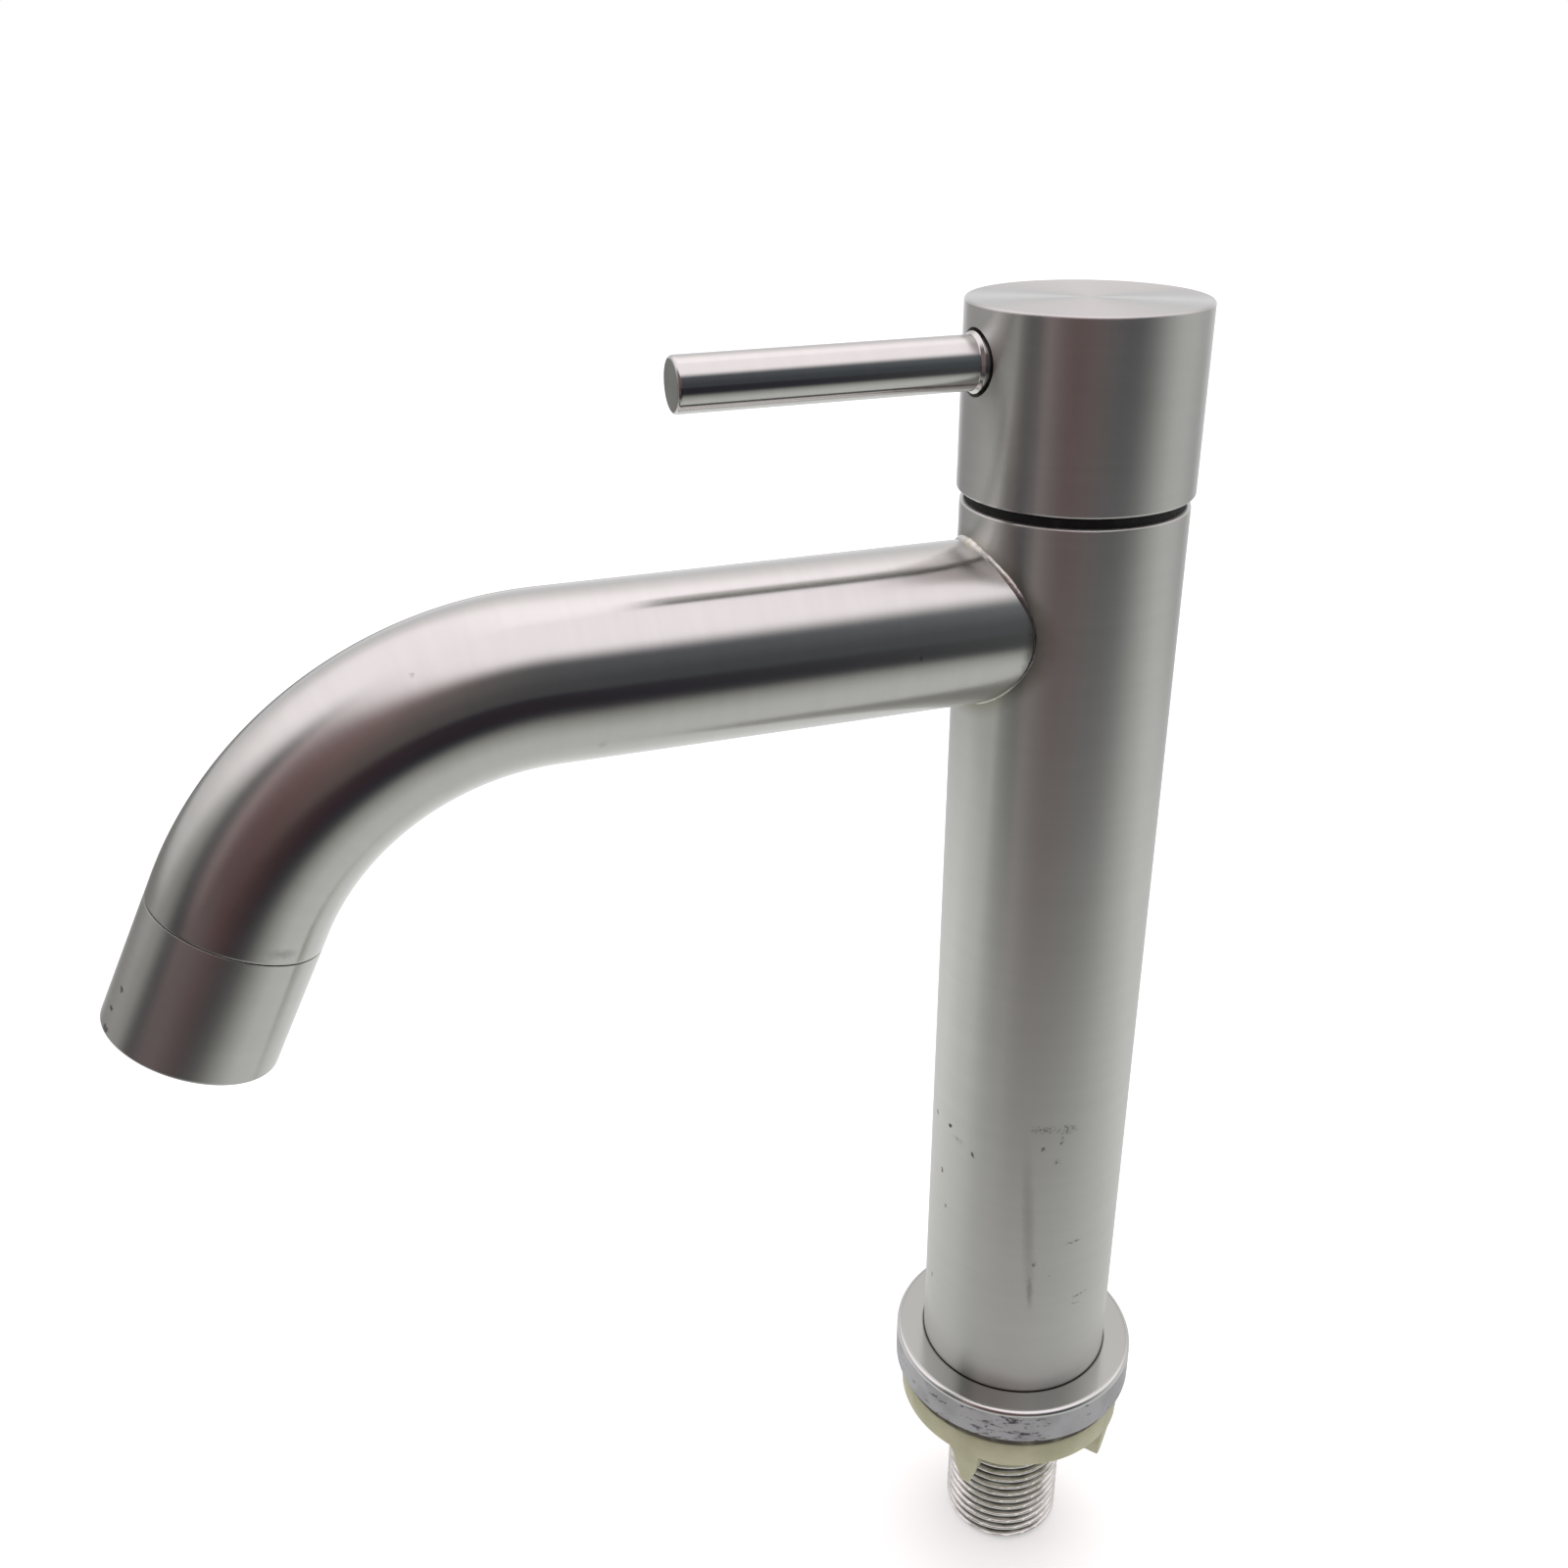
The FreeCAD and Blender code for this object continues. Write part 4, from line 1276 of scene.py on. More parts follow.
    def weld(self) -> Patch:
        """The bead of weld along the curve where spout and body meet.

        The curve is (r sin a, -sqrt(R^2 - (r sin a)^2), h + r cos a). Round it goes a circle whose radius
        swells and shrinks in ripples, so that the bead looks laid drop by drop, and is least at the spout's
        underside. A ripple is its share times sin(waves * a + start).

        Returns:
            The patch.
        """
        angle, ring = circle(self.bead_steps[0])[:, None], circle(self.bead_steps[1])[None, :]
        x, y = self.radius * np.sin(angle), -self.root(self.radius, angle)
        seam = stack(x, y, self.height + self.radius * np.cos(angle))
        outward = stack(np.sin(angle), 0 * angle, np.cos(angle)) + stack(x, y, 0 * x) / self.body_radius
        outward /= np.linalg.norm(outward, axis=-1, keepdims=True)
        tangent = np.gradient(seam[:, 0], axis=0)[:, None, :]
        tangent /= np.linalg.norm(tangent, axis=-1, keepdims=True)
        sideways = np.cross(tangent, outward)
        ripple = 1 + sum(share * np.sin(waves * angle + start) for share, waves, start in self.ripples)
        swell = np.cos(angle / 2) ** self.bead_power
        size = self.bead * ripple * (self.bead_least + (1 - self.bead_least) * swell)
        lift, shift = np.cos(ring) * size, np.sin(ring) * size * self.bead_width
        points = seam + outward * (lift - self.bead_sink * self.bead)[..., None] + sideways * shift[..., None]
        length = angle * self.radius
        return Patch(points, stack(lift, shift, length), stack(length, ring * self.bead))

    def housing(self) -> Patch:
        """The sleeve at the outlet, with the shoulder that holds the aerator.

        Returns:
            The patch, turned about Z and then placed at the seam, with Z along the outlet.
        """
        inner, end = self.radius - self.housing_wall, self.housing_length
        outline = rounded([
            (inner, self.seam, 0.0),
            (self.radius, self.seam, self.edge / 3),
            (self.radius, end, self.rim_round),
            (self.mouth_radius, end, self.mouth_round),
            (self.mouth_radius, self.shoulder, 0.0),
            (inner, self.shoulder, 0.0),
        ])
        outlet = Vector((0.0, -math.cos(self.bend), -math.sin(self.bend)))
        side = Vector((1.0, 0.0, 0.0))
        turn = Matrix((side, outlet.cross(side), outlet)).transposed().to_4x4()
        middle = self.point(np.array(self.end()), np.array(0.0), np.array(0.0))
        return turned(outline, self.columns).placed(Matrix.Translation(Vector(middle.tolist())) @ turn)

    def build(self) -> None:
        """Makes the spout, the weld and the sleeve, and dresses the aerator."""
        steel = BrushedSteel(
            "spout steel",
            roughness=0.21,
            anisotropy=0.85,
            line_depth=0.0008 * MM,
            broad_depth=0.1,
            cloud=0.015,
            # Smudges, and painted shade at the root next to the weld.
            wear=Wear(self.smudges_and_root_shade, self.radius),
        )
        pits = Wear(self.pits, self.radius, -self.housing_wall)
        sleeve = replace(steel, name="housing steel", roughness=0.235, anisotropy=0.95, wear=pits)
        pieces = (
            ("spout_shell", self.tube(), steel, Slot.BRUSHED, "spout_tube"),
            ("weld_bead", self.weld(), WeldSteel(), Slot.WELD, "spout_weld_bead"),
            ("outlet_sleeve", self.housing(), sleeve, Slot.BRUSHED, "aerator_housing"),
        )
        for name, patch, finish, slot, node in pieces:
            add_piece(name, [patch], finish.make(), Body.FIXED, slot, node)
        pale = Moulded("aerator plastic", (0.74, 0.75, 0.75), (0.62, 0.63, 0.64)).make()
        for node in ("aerator_cage", "aerator_flow_disc"):
            dress_node(node, pale)
        dress_node("aerator_screens", TurnedMetal("screen steel", (0.62, 0.62, 0.60), 0.25).make())
        dress_node("spout_end_ring", TurnedMetal("end ring steel", (0.58, 0.57, 0.55)).make())
        dress_node("aerator_washer", rubber("aerator rubber").make())


@dataclass
class Handle:
    """The round head and its lever."""

    radius: float = 17.0 * MM
    bottom: float = 165.6 * MM
    top: float = 192.1 * MM
    edge: float = 0.4 * MM
    edge_hold: float = 0.03 * MM
    edge_margin: float = 0.05 * MM
    recess_radius: float = 13.5 * MM
    recess_depth: float = 1.5 * MM
    recess_round: float = 0.1 * MM
    socket_radius: float = 6.5 * MM
    socket_top: float = 182.7 * MM
    lever_height: float = 184.4 * MM
    lever_radius: float = 3.75 * MM
    lever_reach: float = 59.6 * MM
    lever_round: float = 0.5 * MM
    shoulder_radius: float = 4.2 * MM
    shoulder_end: float = 17.2 * MM
    small_round: float = 0.2 * MM
    lever_hole_radius: float = 4.65 * MM
    lever_hole_floor: float = 13.0 * MM
    stud_radius: float = 2.5 * MM
    stud_end: float = 7.8 * MM
    stud_gap: float = 0.05 * MM
    screw_azimuth: float = -117.0
    screw_height: float = 169.8 * MM
    screw_hole_radius: float = 1.55 * MM
    screw_hole_floor: float = 7.1 * MM
    columns: int = 192
    rows: int = 60
    lever_columns: int = 96

    def head(self) -> list[Patch]:
        """The head: a drilled wall between a turned top and a turned underside.

        Returns:
            The patches.
        """
        margin = self.edge + self.edge_margin
        low, high = self.bottom + margin, self.top - margin
        stud_hole = self.stud_radius + self.stud_gap
        holes = (
            Hole(-90.0, self.lever_height, self.lever_hole_radius, (
                (self.lever_hole_radius, self.lever_hole_floor),
                (stud_hole, self.lever_hole_floor),
                (stud_hole, self.stud_end),
                (0.0, self.stud_end),
            )),
            Hole(self.screw_azimuth, self.screw_height, self.screw_hole_radius, (
                (self.screw_hole_radius, self.screw_hole_floor),
                (0.0, self.screw_hole_floor),
            ), 0.6 * MM),
        )
        recess_top = self.bottom + self.recess_depth
        upper = [(self.radius, high, 0.0), (self.radius, self.top, self.edge), (0.0, self.top, 0.0)]
        lower = [
            (self.radius, low, 0.0),
            (self.radius, self.bottom, self.edge),
            (self.recess_radius, self.bottom, self.recess_round),
            (self.recess_radius, recess_top, 0.0),
            (self.socket_radius, recess_top, 0.0),
            (self.socket_radius, self.socket_top, 0.0),
            (0.0, self.socket_top, 0.0),
        ]
        caps = [turned(rounded(corners, False, self.edge_hold), self.columns) for corners in (upper, lower)]
        return [*DrilledWall(self.radius, low, high, self.columns, self.rows, holes).patches(), *caps]

    def lever(self) -> Patch:
        """The lever: a round bar with a rounded end, a shoulder at its root and a stud.

        Returns:
            The patch.
        """
        step = self.shoulder_radius - self.lever_radius
        outline = rounded([
            (0.0, self.stud_end, 0.0),
            (self.stud_radius, self.stud_end, self.small_round),
            (self.stud_radius, self.lever_hole_floor, 0.0),
            (self.shoulder_radius, self.lever_hole_floor, 0.0),
            (self.shoulder_radius, self.shoulder_end, self.small_round),
            (self.lever_radius, self.shoulder_end + step, self.small_round),
            (self.lever_radius, self.lever_reach, self.lever_round),
            (0.0, self.lever_reach, 0.0),
        ], closed=False)
        outwards = Matrix.Rotation(math.radians(90.0), 4, "X")
        place = Matrix.Translation((0.0, 0.0, self.lever_height)) @ outwards
        return turned(outline, self.lever_columns).placed(place)

    def build(self) -> None:
        """Makes the head and the lever, and dresses the set screw."""
        steel = BrushedSteel("head steel", roughness=0.30)
        bar = BrushedSteel(
            "lever steel",
            roughness=0.17,
            anisotropy=0.72,
            line_length=5.0 * MM,
            broad_depth=0.1,
        )
        add_piece("head_shell", self.head(), steel.make(), Body.HANDLE, Slot.BRUSHED, "handle_head")
        add_piece("lever_bar", [self.lever()], bar.make(), Body.HANDLE, Slot.BRUSHED, "lever_rod")
        dress_node("set_screw", TurnedMetal("set screw steel", (0.20, 0.20, 0.20), 0.45).make())


@dataclass
class Base:
    """The flange, the rubber washer, the back nut and the threaded shank."""

    flange_radius: float = 21.5 * MM
    flange_top: float = 6.7 * MM
    flange_edge: float = 0.9 * MM
    flange_foot: float = 0.15 * MM
    flange_columns: int = 192
    washer_columns: int = 160
    recess_radius: float = 20.5 * MM
    recess_depth: float = 2.4 * MM
    hole_radius: float = 10.83 * MM
    hole_round: float = 0.1 * MM
    washer_radius: float = 20.35 * MM
    washer_bottom: float = -2.5 * MM
    washer_rounds: tuple[float, float] = (0.3 * MM, 0.45 * MM)
    thread_radius: float = 10.4775 * MM
    thread_depth: float = 1.162 * MM
    thread_slope: float = math.tan(math.radians(27.5))
    thread_flat: float = 0.125 * MM
    thread_top: float = -1.0 * MM
    thread_shoulder: float = -0.9 * MM
    thread_steps: tuple[int, int] = (128, 420)
    thread_soft: float = 0.35
    pitch: float = 25.4 / 14 * MM
    shank_bottom: float = -38.1 * MM
    shank_bore: float = 7.0 * MM
    shank_top: float = 6.7 * MM
    spigot_radius: float = 9.0 * MM
    spigot_top: float = 10.7 * MM
    inlet_chamfer: float = 0.4 * MM
    end_chamfer: float = 0.9 * MM
    nut_radius: float = 20.2 * MM
    nut_bore: float = 10.6 * MM
    nut_disc: float = 4.8 * MM
    nut_round: float = 0.25 * MM
    nut_chamfer: float = 0.3 * MM
    hub_top_radius: float = 14.2 * MM
    hub_radius: float = 13.3 * MM
    hub_height: float = 12.8 * MM
    wing_height: float = 13.3 * MM
    wing_azimuth: float = math.radians(-50.0)
    wing_half: tuple[float, float, float] = (0.8 * MM, 1.9 * MM, 2.7 * MM)
    wing_tip: float = 3.8 * MM
    wing_foot_radius: float = 18.8 * MM
    wing_end_gap: float = 0.15 * MM
    fillet: float = 0.16 * MM
    nut_columns: int = 720
    nut_rows: tuple[tuple[float, float, int], ...] = (
        (10.6 * MM, 13.1 * MM, 9),
        (13.2 * MM, 14.3 * MM, 18),
        (14.6 * MM, 18.6 * MM, 14),
        (18.7 * MM, 19.95 * MM, 16),
    )
    nut_arc: int = 5
    crease: float = 50.0

    def flange(self) -> Patch:
        """The flange, with its gasket recess below.

        Returns:
            The patch.
        """
        return turned(rounded([
            (self.hole_radius, self.flange_top, self.hole_round),
            (self.flange_radius, self.flange_top, self.flange_edge),
            (self.flange_radius, 0.0, self.flange_foot),
            (self.recess_radius, 0.0, 0.0),
            (self.recess_radius, self.recess_depth, 0.0),
            (self.hole_radius, self.recess_depth, 0.0),
        ]), self.flange_columns)

    def washer(self) -> Patch:
        """The rubber washer, with soft edges.

        Returns:
            The patch.
        """
        upper, lower = self.washer_rounds
        return turned(rounded([
            (self.hole_radius, 0.0, 0.0),
            (self.washer_radius, 0.0, upper),
            (self.washer_radius, self.washer_bottom, lower),
            (self.hole_radius, self.washer_bottom, 0.0),
        ]), self.washer_columns)

    def shank(self) -> Patch:
        """The shank with its thread.

        The radius at (t, z) is the crest's, less the depth times a flat-bottomed V of the distance from the
        groove, which climbs one pitch a turn. A cone trims the crests at the shank's end.

        Returns:
            The patch.
        """
        columns, rows = self.thread_steps
        turn = circle(columns)[None, :]
        height = np.linspace(self.shank_bottom, self.thread_top, rows)[:, None]
        phase = (height - self.shank_bottom) / self.pitch - turn / ROUND
        away = np.abs(phase - np.round(phase)) * self.pitch
        mouth = self.thread_flat + self.thread_depth * self.thread_slope
        share = np.clip((mouth - away) / (mouth - self.thread_flat), 0.0, 1.0)
        soft = share * share * (3 - 2 * share) * self.thread_soft + share * (1 - self.thread_soft)
        end = self.thread_radius - self.end_chamfer + (height - self.shank_bottom)
        radius = np.minimum(self.thread_radius - self.thread_depth * soft, end)
        tail_radius, tail_height = np.hsplit(np.array([
            (self.thread_radius, self.thread_shoulder),
            (self.thread_radius, self.shank_top),
            (self.spigot_radius, self.shank_top),
            (self.spigot_radius, self.spigot_top),
            (self.shank_bore, self.spigot_top),
            (self.shank_bore, self.shank_bottom + self.inlet_chamfer),
            (self.shank_bore + self.inlet_chamfer, self.shank_bottom),
        ]), 2)
        radius = np.vstack([radius, tail_radius + 0 * turn, radius[:1]])
        height = np.vstack([height, tail_height, height[:1]])
        return round_patch(radius, turn, height, height, turn * self.thread_radius)

    def nut_underside(self, radius: Array, turn: Array) -> Array:
        """Height of the nut's underside.

        It is the lowest of three surfaces: the disc, the hub's cone and the four wings, joined by a soft
        minimum that leaves a moulded fillet. A wing's height rises from its foot with the distance from its
        middle plane and, past its foot's radius, with the radius.

        Args:
            radius: Distances from the axis.
            turn: Azimuths.

        Returns:
            The heights.
        """
        disc = self.washer_bottom - self.nut_disc
        hub_floor = self.washer_bottom - self.hub_height
        wing_floor = self.washer_bottom - self.wing_height
        cone = (radius - self.hub_radius) / (self.hub_top_radius - self.hub_radius)
        hub = hub_floor + np.clip(cone, 0.0, 1.0) * (disc - hub_floor)
        quarter = math.pi / 2
        off = (turn - self.wing_azimuth + quarter / 2) % quarter - quarter / 2
        across = np.abs(radius * np.sin(off))
        sides = np.interp(across, self.wing_half, [wing_floor, wing_floor + self.wing_tip, disc])
        wing_length = self.nut_radius - self.wing_end_gap - self.wing_foot_radius
        lean = (radius - self.wing_foot_radius) / wing_length
        wing = np.maximum(sides, wing_floor + np.clip(lean, 0.0, 1.0) * (disc - wing_floor))
        surfaces = np.stack([disc + 0 * wing, hub + 0 * wing, wing])
        lowest = surfaces.min(axis=0)
        soft = lowest - np.log(np.exp((lowest - surfaces) / self.fillet).sum(axis=0)) * self.fillet
        return np.where(surfaces.max(axis=0) - lowest > 0, soft, lowest)

    def nut(self) -> Patch:
        """The back nut: its underside over a polar grid, closed by rim, top and bore.

        The grid's radii lie in bands, closest where the hub's cone and the wings' ends rise.

        Returns:
            The patch.
        """
        turn = circle(self.nut_columns)[None, :]
        fine = np.concatenate([np.linspace(*band) for band in self.nut_rows])[:, None]
        underside = self.nut_underside(fine, turn)
        swing = np.linspace(0.0, math.pi / 2, self.nut_arc)[1:, None]
        rim_radius = self.nut_radius - self.nut_round * (1 - np.sin(swing))
        rim_height = underside[-1:] + self.nut_round * (1 - np.cos(swing))
        top = self.washer_bottom
        foot = self.nut_radius - self.nut_round
        closing = [(self.nut_radius, top - self.nut_chamfer), (foot, top), (self.nut_bore, top)]
        close_radius, close_height = np.hsplit(np.array(closing), 2)
        radius = np.vstack([fine, rim_radius, close_radius, fine[:1]])
        height = np.vstack([underside, rim_height, close_height + 0 * turn, underside[:1]])
        return round_patch(radius, turn, height, height, turn * radius)

    def build(self) -> None:
        """Makes the base's pieces, and dresses the gasket."""
        cream = Moulded("nut plastic", (0.60, 0.61, 0.42), (0.49, 0.50, 0.32), (0.26, 0.40), glow=0.4)
        lip = rubber("washer rubber", (0.07, 0.066, 0.045), (0.20, 0.19, 0.14))
        pieces = (
            ("flange_disc", self.flange(), FlangeSteel(), Body.FIXED, Slot.BRUSHED, "base_flange"),
            ("washer_ring", self.washer(), lip, Body.WASHER, Slot.RUBBER, "clamp_washer"),
            ("shank_thread", self.shank(), ThreadSteel(), Body.FIXED, Slot.THREAD, "threaded_shank"),
            ("wing_nut", self.nut(), cream, Body.NUT, Slot.NUT, "back_nut"),
        )
        for name, patch, finish, body, slot, node in pieces:
            add_piece(name, [patch], finish.make(), body, slot, node, self.crease)
        dress_node("base_gasket", rubber("gasket rubber").make())


@dataclass
class Inside:
    """The pieces that the shell hides."""

    brass: tuple[str, ...] = ("headwork_body", "spindle")
    steel: tuple[str, ...] = ("bottom_plug", "riser_tube", "valve_seat", "top_collar", "spindle_circlip")
    seals: tuple[str, ...] = ("seat_seal", "spindle_orings")
    ceramic: tuple[str, ...] = ("lower_ceramic_disc", "upper_ceramic_disc")
    plastic: tuple[str, ...] = ("thrust_washer", "spline_bush")
    fibre: tuple[str, ...] = ("fibre_washer",)

    def build(self) -> None:
        """Dresses the pieces."""
        finishes = (
            (self.brass, TurnedMetal("brass", (0.78, 0.60, 0.28), 0.28)),
            (self.steel, TurnedMetal("inner steel", (0.55, 0.55, 0.53), 0.36)),
            (self.seals, rubber("seal rubber")),
            (self.ceramic, Moulded("ceramic", (0.88, 0.87, 0.83), (0.80, 0.79, 0.75), (0.09, 0.23))),
            (self.plastic, Moulded("slide plastic", (0.72, 0.72, 0.70), (0.62, 0.62, 0.60))),
            (self.fibre, Moulded("fibre", (0.42, 0.13, 0.08), (0.30, 0.09, 0.06), (0.64, 0.78))),
        )
        for nodes, finish in finishes:
            material = finish.make()
            for node in nodes:
                dress_node(node, material)


@dataclass
class Studio:
    """Floor, lights and camera.

    The room round the tap is pale with a soft bright ceiling. On the camera's side, up to about 45 degrees,
    it is dark, and so is the floor past its pale sheet, as in a room where someone holds the camera.

    Attributes:
        camera_place: Where the camera stands.
        heading: Azimuth that the camera looks along.
        pitch: How far it looks up.
        roll: How far it is turned about its own line of sight.
        focal_pixels: Focal length in pixels of the picture.
        image_pixels: Width of the picture in pixels.
        sensor: Width of the sensor in millimetres.
        camera_azimuth: Azimuth of the camera as the tap sees it.
        floor_height: Height of the floor.
        floor_half: Half the floor's width.
        floor_paint: The floor's brightness and roughness.
        floor_glow: Light that the camera sees it give.
        near_limit: Distance from which the camera sees.
        lamp_size: Width of the soft lamp.
        lamp_power: Its power.
        lamp_place: Where it hangs.
        lamp_aim: Where it points.
        sheet_ends: Distances between which the pale sheet gives way to the floor past it.
        sheet_sides: Distances across between which the pale sheet gets less bright.
        sheet_most: How bright it is before.
        left_end: Azimuths from the camera between which the dark side ends at the left.
        left_lean: How fast that end comes nearer to the camera with the elevation.
        right_end: Azimuths between which it ends at the right.
        top_end: Elevations between which it ends at the top.
        top_lean: How fast the top falls with the azimuth, and the azimuth at which it stops falling.
        lift_azimuths: Azimuths between which the pale room's tones stop being read higher up.
        lift: How much higher up they are read in front, in degrees.
        side_heights: Elevations between which the dark side gets brighter.
        side_most: How much brighter it gets.
        behind_azimuths: Azimuths between which the pale room gets its full brightness.
        beside: Its brightness at the sides.
        sheet_tones: Tones of the pale sheet by distance towards the camera.
        far_tones: Tones of the floor past the sheet by azimuth from the camera, in degrees.
        side_tones: Tones of the room's dark side by azimuth from the camera, in degrees.
        sky_tones: Tones of the pale room by elevation, in degrees.
    """

    camera_place: tuple[float, float, float] = (197.42 * MM, -113.59 * MM, 225.0 * MM)
    heading: float = math.radians(160.74)
    pitch: float = math.radians(-25.42)
    roll: float = math.radians(0.35)
    focal_pixels: float = 1614.7
    image_pixels: float = 1600.0
    sensor: float = 36.0
    camera_azimuth: float = math.radians(-29.9)
    floor_height: float = -38.4 * MM
    floor_half: float = 3.0
    floor_paint: tuple[float, float] = (0.9, 0.9)
    floor_glow: float = 0.34
    near_limit: float = 10.0 * MM
    lamp_size: float = 0.7
    lamp_power: float = 1.6
    lamp_place: tuple[float, float, float] = (-0.15, 0.1, 0.95)
    lamp_aim: tuple[float, float, float] = (0.0, -0.04, 0.08)
    sheet_ends: tuple[float, float] = (280.0 * MM, 620.0 * MM)
    sheet_sides: tuple[float, float] = (-200.0 * MM, -30.0 * MM)
    sheet_most: float = 1.2
    left_end: tuple[float, float] = (-130.0, -84.0)
    left_lean: float = 1.1
    right_end: tuple[float, float] = (85.0, 125.0)
    top_end: tuple[float, float] = (35.0, 55.0)
    top_lean: tuple[float, float] = (0.16, 28.0)
    lift_azimuths: tuple[float, float] = (110.0, 160.0)
    lift: float = 22.0
    side_heights: tuple[float, float] = (6.0, 26.0)
    side_most: float = 1.4
    behind_azimuths: tuple[float, float] = (120.0, 165.0)
    beside: float = 0.87
    sheet_tones: Tones = (
        (-0.10, 0.80, 0.81, 0.80), (0.00, 0.66, 0.67, 0.65), (0.10, 0.60, 0.61, 0.59),
        (0.20, 0.33, 0.33, 0.31), (0.26, 0.13, 0.13, 0.13), (0.32, 0.04, 0.04, 0.045),
        (0.45, 0.02, 0.02, 0.03),
    )
    far_tones: Tones = (
        (-180.0, 0.85, 0.85, 0.87), (-160.0, 0.70, 0.70, 0.71), (-145.0, 0.26, 0.26, 0.26),
        (-115.0, 0.19, 0.19, 0.18), (-90.0, 0.20, 0.20, 0.19), (-70.0, 0.31, 0.31, 0.295),
        (-58.0, 0.10, 0.10, 0.10), (-50.0, 0.02, 0.02, 0.025), (-41.0, 0.04, 0.035, 0.04),
        (-33.0, 0.185, 0.155, 0.155), (-24.0, 0.145, 0.12, 0.12), (-10.0, 0.095, 0.048, 0.048),
        (10.0, 0.055, 0.026, 0.03), (30.0, 0.022, 0.02, 0.028), (50.0, 0.03, 0.03, 0.04),
        (65.0, 0.13, 0.135, 0.13), (80.0, 0.33, 0.34, 0.33), (95.0, 0.44, 0.45, 0.43),
        (115.0, 0.46, 0.47, 0.46), (140.0, 0.36, 0.37, 0.36), (160.0, 0.66, 0.66, 0.66),
        (180.0, 0.85, 0.85, 0.87),
    )
    side_tones: Tones = (
        (-90.0, 0.58, 0.58, 0.57), (-75.0, 0.34, 0.34, 0.33), (-62.0, 0.22, 0.22, 0.21),
        (-52.0, 0.09, 0.09, 0.09), (-43.0, 0.11, 0.10, 0.10), (-33.0, 0.27, 0.205, 0.205),
        (-22.0, 0.13, 0.085, 0.085), (-5.0, 0.12, 0.065, 0.065), (10.0, 0.15, 0.105, 0.10),
        (25.0, 0.115, 0.105, 0.10), (40.0, 0.055, 0.06, 0.07), (57.0, 0.06, 0.068, 0.08),
        (75.0, 0.24, 0.25, 0.24), (92.0, 0.48, 0.49, 0.48), (120.0, 0.68, 0.69, 0.69),
    )
    sky_tones: Tones = (
        (0.0, 0.90, 0.90, 0.92), (12.0, 0.75, 0.75, 0.77), (26.0, 0.77, 0.75, 0.76), (36.0, 0.93, 0.89, 0.90),
        (46.0, 1.11, 1.05, 1.07), (54.0, 1.34, 1.25, 1.29), (64.0, 1.42, 1.32, 1.37),
    )

    def camera(self) -> None:
        """Sets the camera where the photograph was taken from.

        Forward is (cos h cos p, sin h cos p, sin p) for heading h and pitch p, right is level, and the roll
        turns both right and down about forward.
        """
        level_part = math.cos(self.pitch)
        ahead = Vector((
            math.cos(self.heading) * level_part,
            math.sin(self.heading) * level_part,
            math.sin(self.pitch),
        ))
        level = Vector((math.sin(self.heading), -math.cos(self.heading), 0.0))
        down = ahead.cross(level)
        right = level * math.cos(self.roll) + down * math.sin(self.roll)
        below = down * math.cos(self.roll) - level * math.sin(self.roll)
        data = bpy.data.cameras.new("camera")
        data.sensor_width = self.sensor
        data.lens = self.sensor * self.focal_pixels / self.image_pixels
        data.clip_start = self.near_limit
        camera = bpy.data.objects.new("camera", data)
        turn = Matrix((right, -below, -ahead)).transposed().to_4x4()
        camera.matrix_world = Matrix.Translation(Vector(self.camera_place)) @ turn
        bpy.context.scene.collection.objects.link(camera)
        bpy.context.scene.camera = camera

    def bearings(self, sheet: Sheet, vector: Socket) -> tuple[Socket, Socket, Socket]:
        """Measures a vector against the camera's side of the tap.

        With a the camera's azimuth, the part towards the camera is x cos a + y sin a, and the part across
        is y cos a - x sin a.

        Args:
            sheet: The nodes.
            vector: The vector.

        Returns:
            Its part towards the camera, its part across, and its azimuth from the camera in degrees.
        """
        x, y, _ = sheet.split(vector)
        cosine, sine = math.cos(self.camera_azimuth), math.sin(self.camera_azimuth)
        towards = sheet.plus(sheet.times(x, cosine), sheet.times(y, sine))
        across = sheet.minus(sheet.times(y, cosine), sheet.times(x, sine))
        return towards, across, sheet.maths("DEGREES", sheet.maths("ARCTAN2", across, towards))

    def floor_tone(self, sheet: Sheet) -> Socket:
        """Colour of the floor as metal reflects it: a pale sheet near the tap, and a darker floor past it.

        Args:
            sheet: The floor's nodes.

        Returns:
            The colour.
        """
        place = sheet.place()
        towards, across, azimuth = self.bearings(sheet, place)
        lit = sheet.spread(across, *self.sheet_sides, self.sheet_most, 1.0)
        near = sheet.scaled(sheet.ramp(towards, self.sheet_tones), lit)
        past = sheet.spread(sheet.vectors("LENGTH", place)["Value"], *self.sheet_ends)
        return sheet.mix(past, near, sheet.ramp(azimuth, self.far_tones))

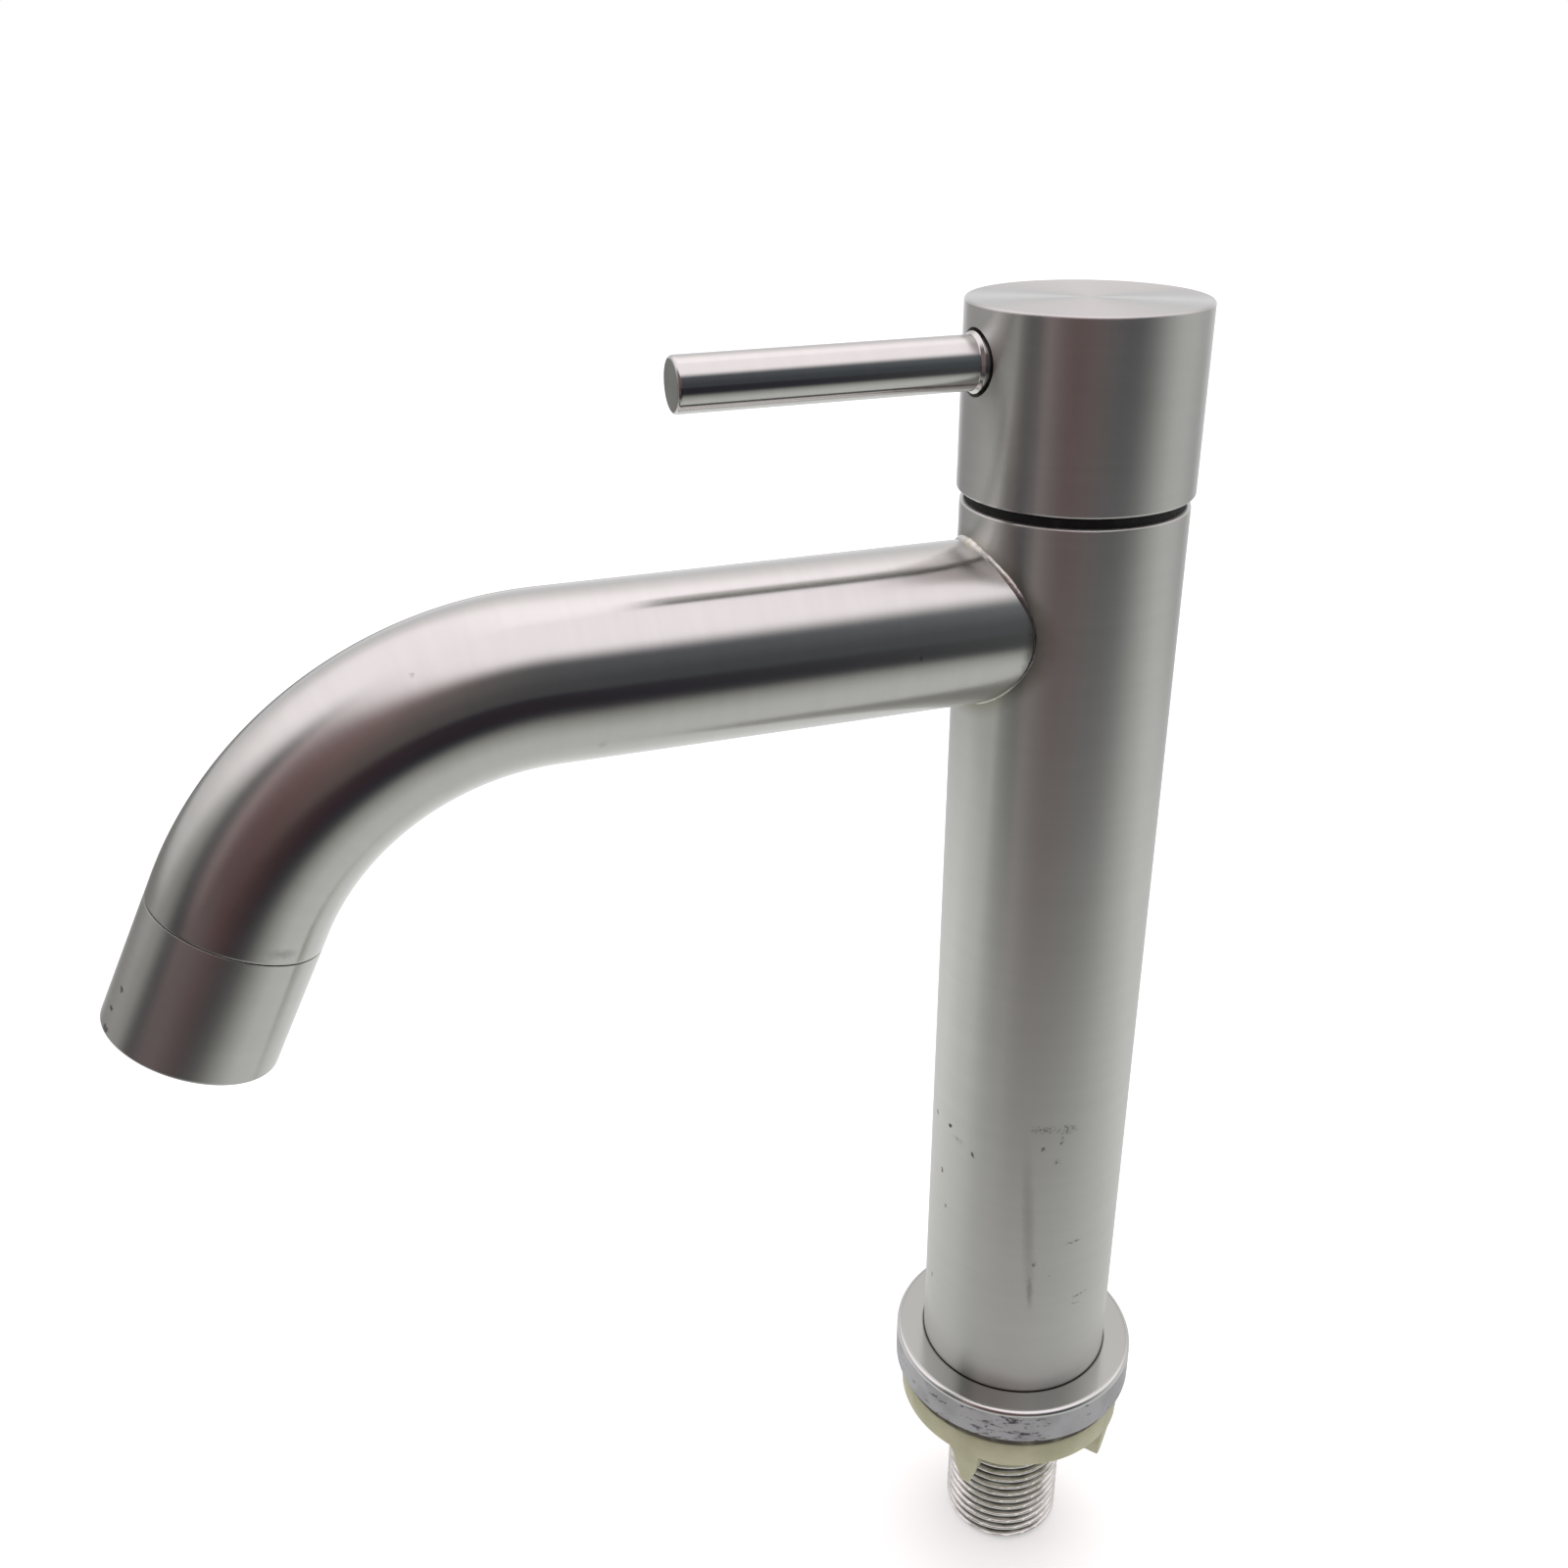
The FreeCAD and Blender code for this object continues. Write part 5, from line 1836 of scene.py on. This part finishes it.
    def floor(self) -> None:
        """Lays the pale floor, which keeps the tap's shadow and shows white to the camera."""
        half, height = self.floor_half, self.floor_height
        mesh = bpy.data.meshes.new("floor")
        corners = [(-half, -half, height), (half, -half, height), (half, half, height), (-half, half, height)]
        mesh.from_pydata(corners, [], [(0, 1, 2, 3)])
        floor = bpy.data.objects.new("floor", mesh)
        bpy.context.scene.collection.objects.link(floor)
        sheet = Sheet.of_material("floor")
        rays = sheet.add("ShaderNodeLightPath").outputs
        white, rough = self.floor_paint
        inputs = {
            "Base Color": (white, white, white, 1.0),
            "Roughness": rough,
            "Specular IOR Level": 0.0,
            "Emission Color": (1.0, 1.0, 1.0, 1.0),
            "Emission Strength": sheet.times(rays["Is Camera Ray"], self.floor_glow),
        }
        for name, value in inputs.items():
            sheet.put(sheet.shader.inputs[name], value)
        seen = sheet.add("ShaderNodeEmission", {"Color": self.floor_tone(sheet), "Strength": 1.0}).outputs[0]
        layers = {0: rays["Is Glossy Ray"], 1: sheet.shader.outputs[0], 2: seen}
        blend = sheet.add("ShaderNodeMixShader", layers).outputs[0]
        sheet.put(sheet.tree.nodes["Material Output"].inputs["Surface"], blend)
        mesh.materials.append(sheet.material)

    def room(self) -> None:
        """Lights the room by direction, and shows the camera a white background.

        The dark side ends at about 46 degrees of elevation, lower to the right. Its left end comes nearer
        to the camera the higher it is.
        """
        world = bpy.data.worlds.new("room")
        world.use_nodes = True
        bpy.context.scene.world = world
        sheet = Sheet(world.node_tree)
        direction = sheet.add("ShaderNodeTexCoord").outputs["Generated"]
        azimuth = self.bearings(sheet, direction)[2]
        swing = sheet.maths("ABSOLUTE", azimuth)
        height = sheet.maths("DEGREES", sheet.maths("ARCSINE", sheet.split(direction)[2]))
        left = sheet.spread(sheet.minus(azimuth, sheet.times(height, self.left_lean)), *self.left_end)
        fall, fall_end = self.top_lean
        lean = sheet.times(sheet.maths("MINIMUM", azimuth, fall_end), fall)
        dark = sheet.times(left, sheet.fade(azimuth, *self.right_end))
        dark = sheet.times(dark, sheet.fade(sheet.plus(height, lean), *self.top_end))
        lifted = sheet.plus(height, sheet.fade(swing, *self.lift_azimuths, self.lift))
        brighter = sheet.spread(height, *self.side_heights, 1.0, self.side_most)
        side = sheet.scaled(sheet.ramp(azimuth, self.side_tones), brighter)
        behind = sheet.spread(swing, *self.behind_azimuths, self.beside, 1.0)
        room = sheet.mix(dark, sheet.scaled(sheet.ramp(lifted, self.sky_tones), behind), side)
        camera_ray = sheet.add("ShaderNodeLightPath").outputs["Is Camera Ray"]
        background = sheet.tree.nodes["Background"].inputs
        sheet.put(background["Color"], sheet.mix(camera_ray, room, (1.0, 1.0, 1.0)))
        background["Strength"].default_value = 1.0

    def softbox(self) -> None:
        """Hangs one soft lamp above the tap, for its shadow."""
        data = bpy.data.lights.new("softbox", "AREA")
        data.shape = "RECTANGLE"
        data.size = self.lamp_size
        data.size_y = self.lamp_size
        data.energy = self.lamp_power
        lamp = bpy.data.objects.new("softbox", data)
        lamp.location = self.lamp_place
        aim = Vector(self.lamp_aim) - lamp.location
        lamp.rotation_euler = aim.to_track_quat("-Z", "Y").to_euler()
        lamp.visible_glossy = False
        bpy.context.scene.collection.objects.link(lamp)

    def build(self) -> None:
        """Sets up the whole studio."""
        bpy.context.scene.view_settings.view_transform = "Standard"
        self.camera()
        self.floor()
        self.room()
        self.softbox()
        log.info("studio: floor, room, softbox and camera")


def main() -> None:
    """Builds the studio and the tap, and logs what it builds."""
    logging.basicConfig(level=logging.INFO, format="%(name)s %(message)s")
    for assembly in (Studio(), BodyTube(), Spout(), Handle(), Base(), Inside()):
        assembly.build()


if __name__ == "__main__":
    main()
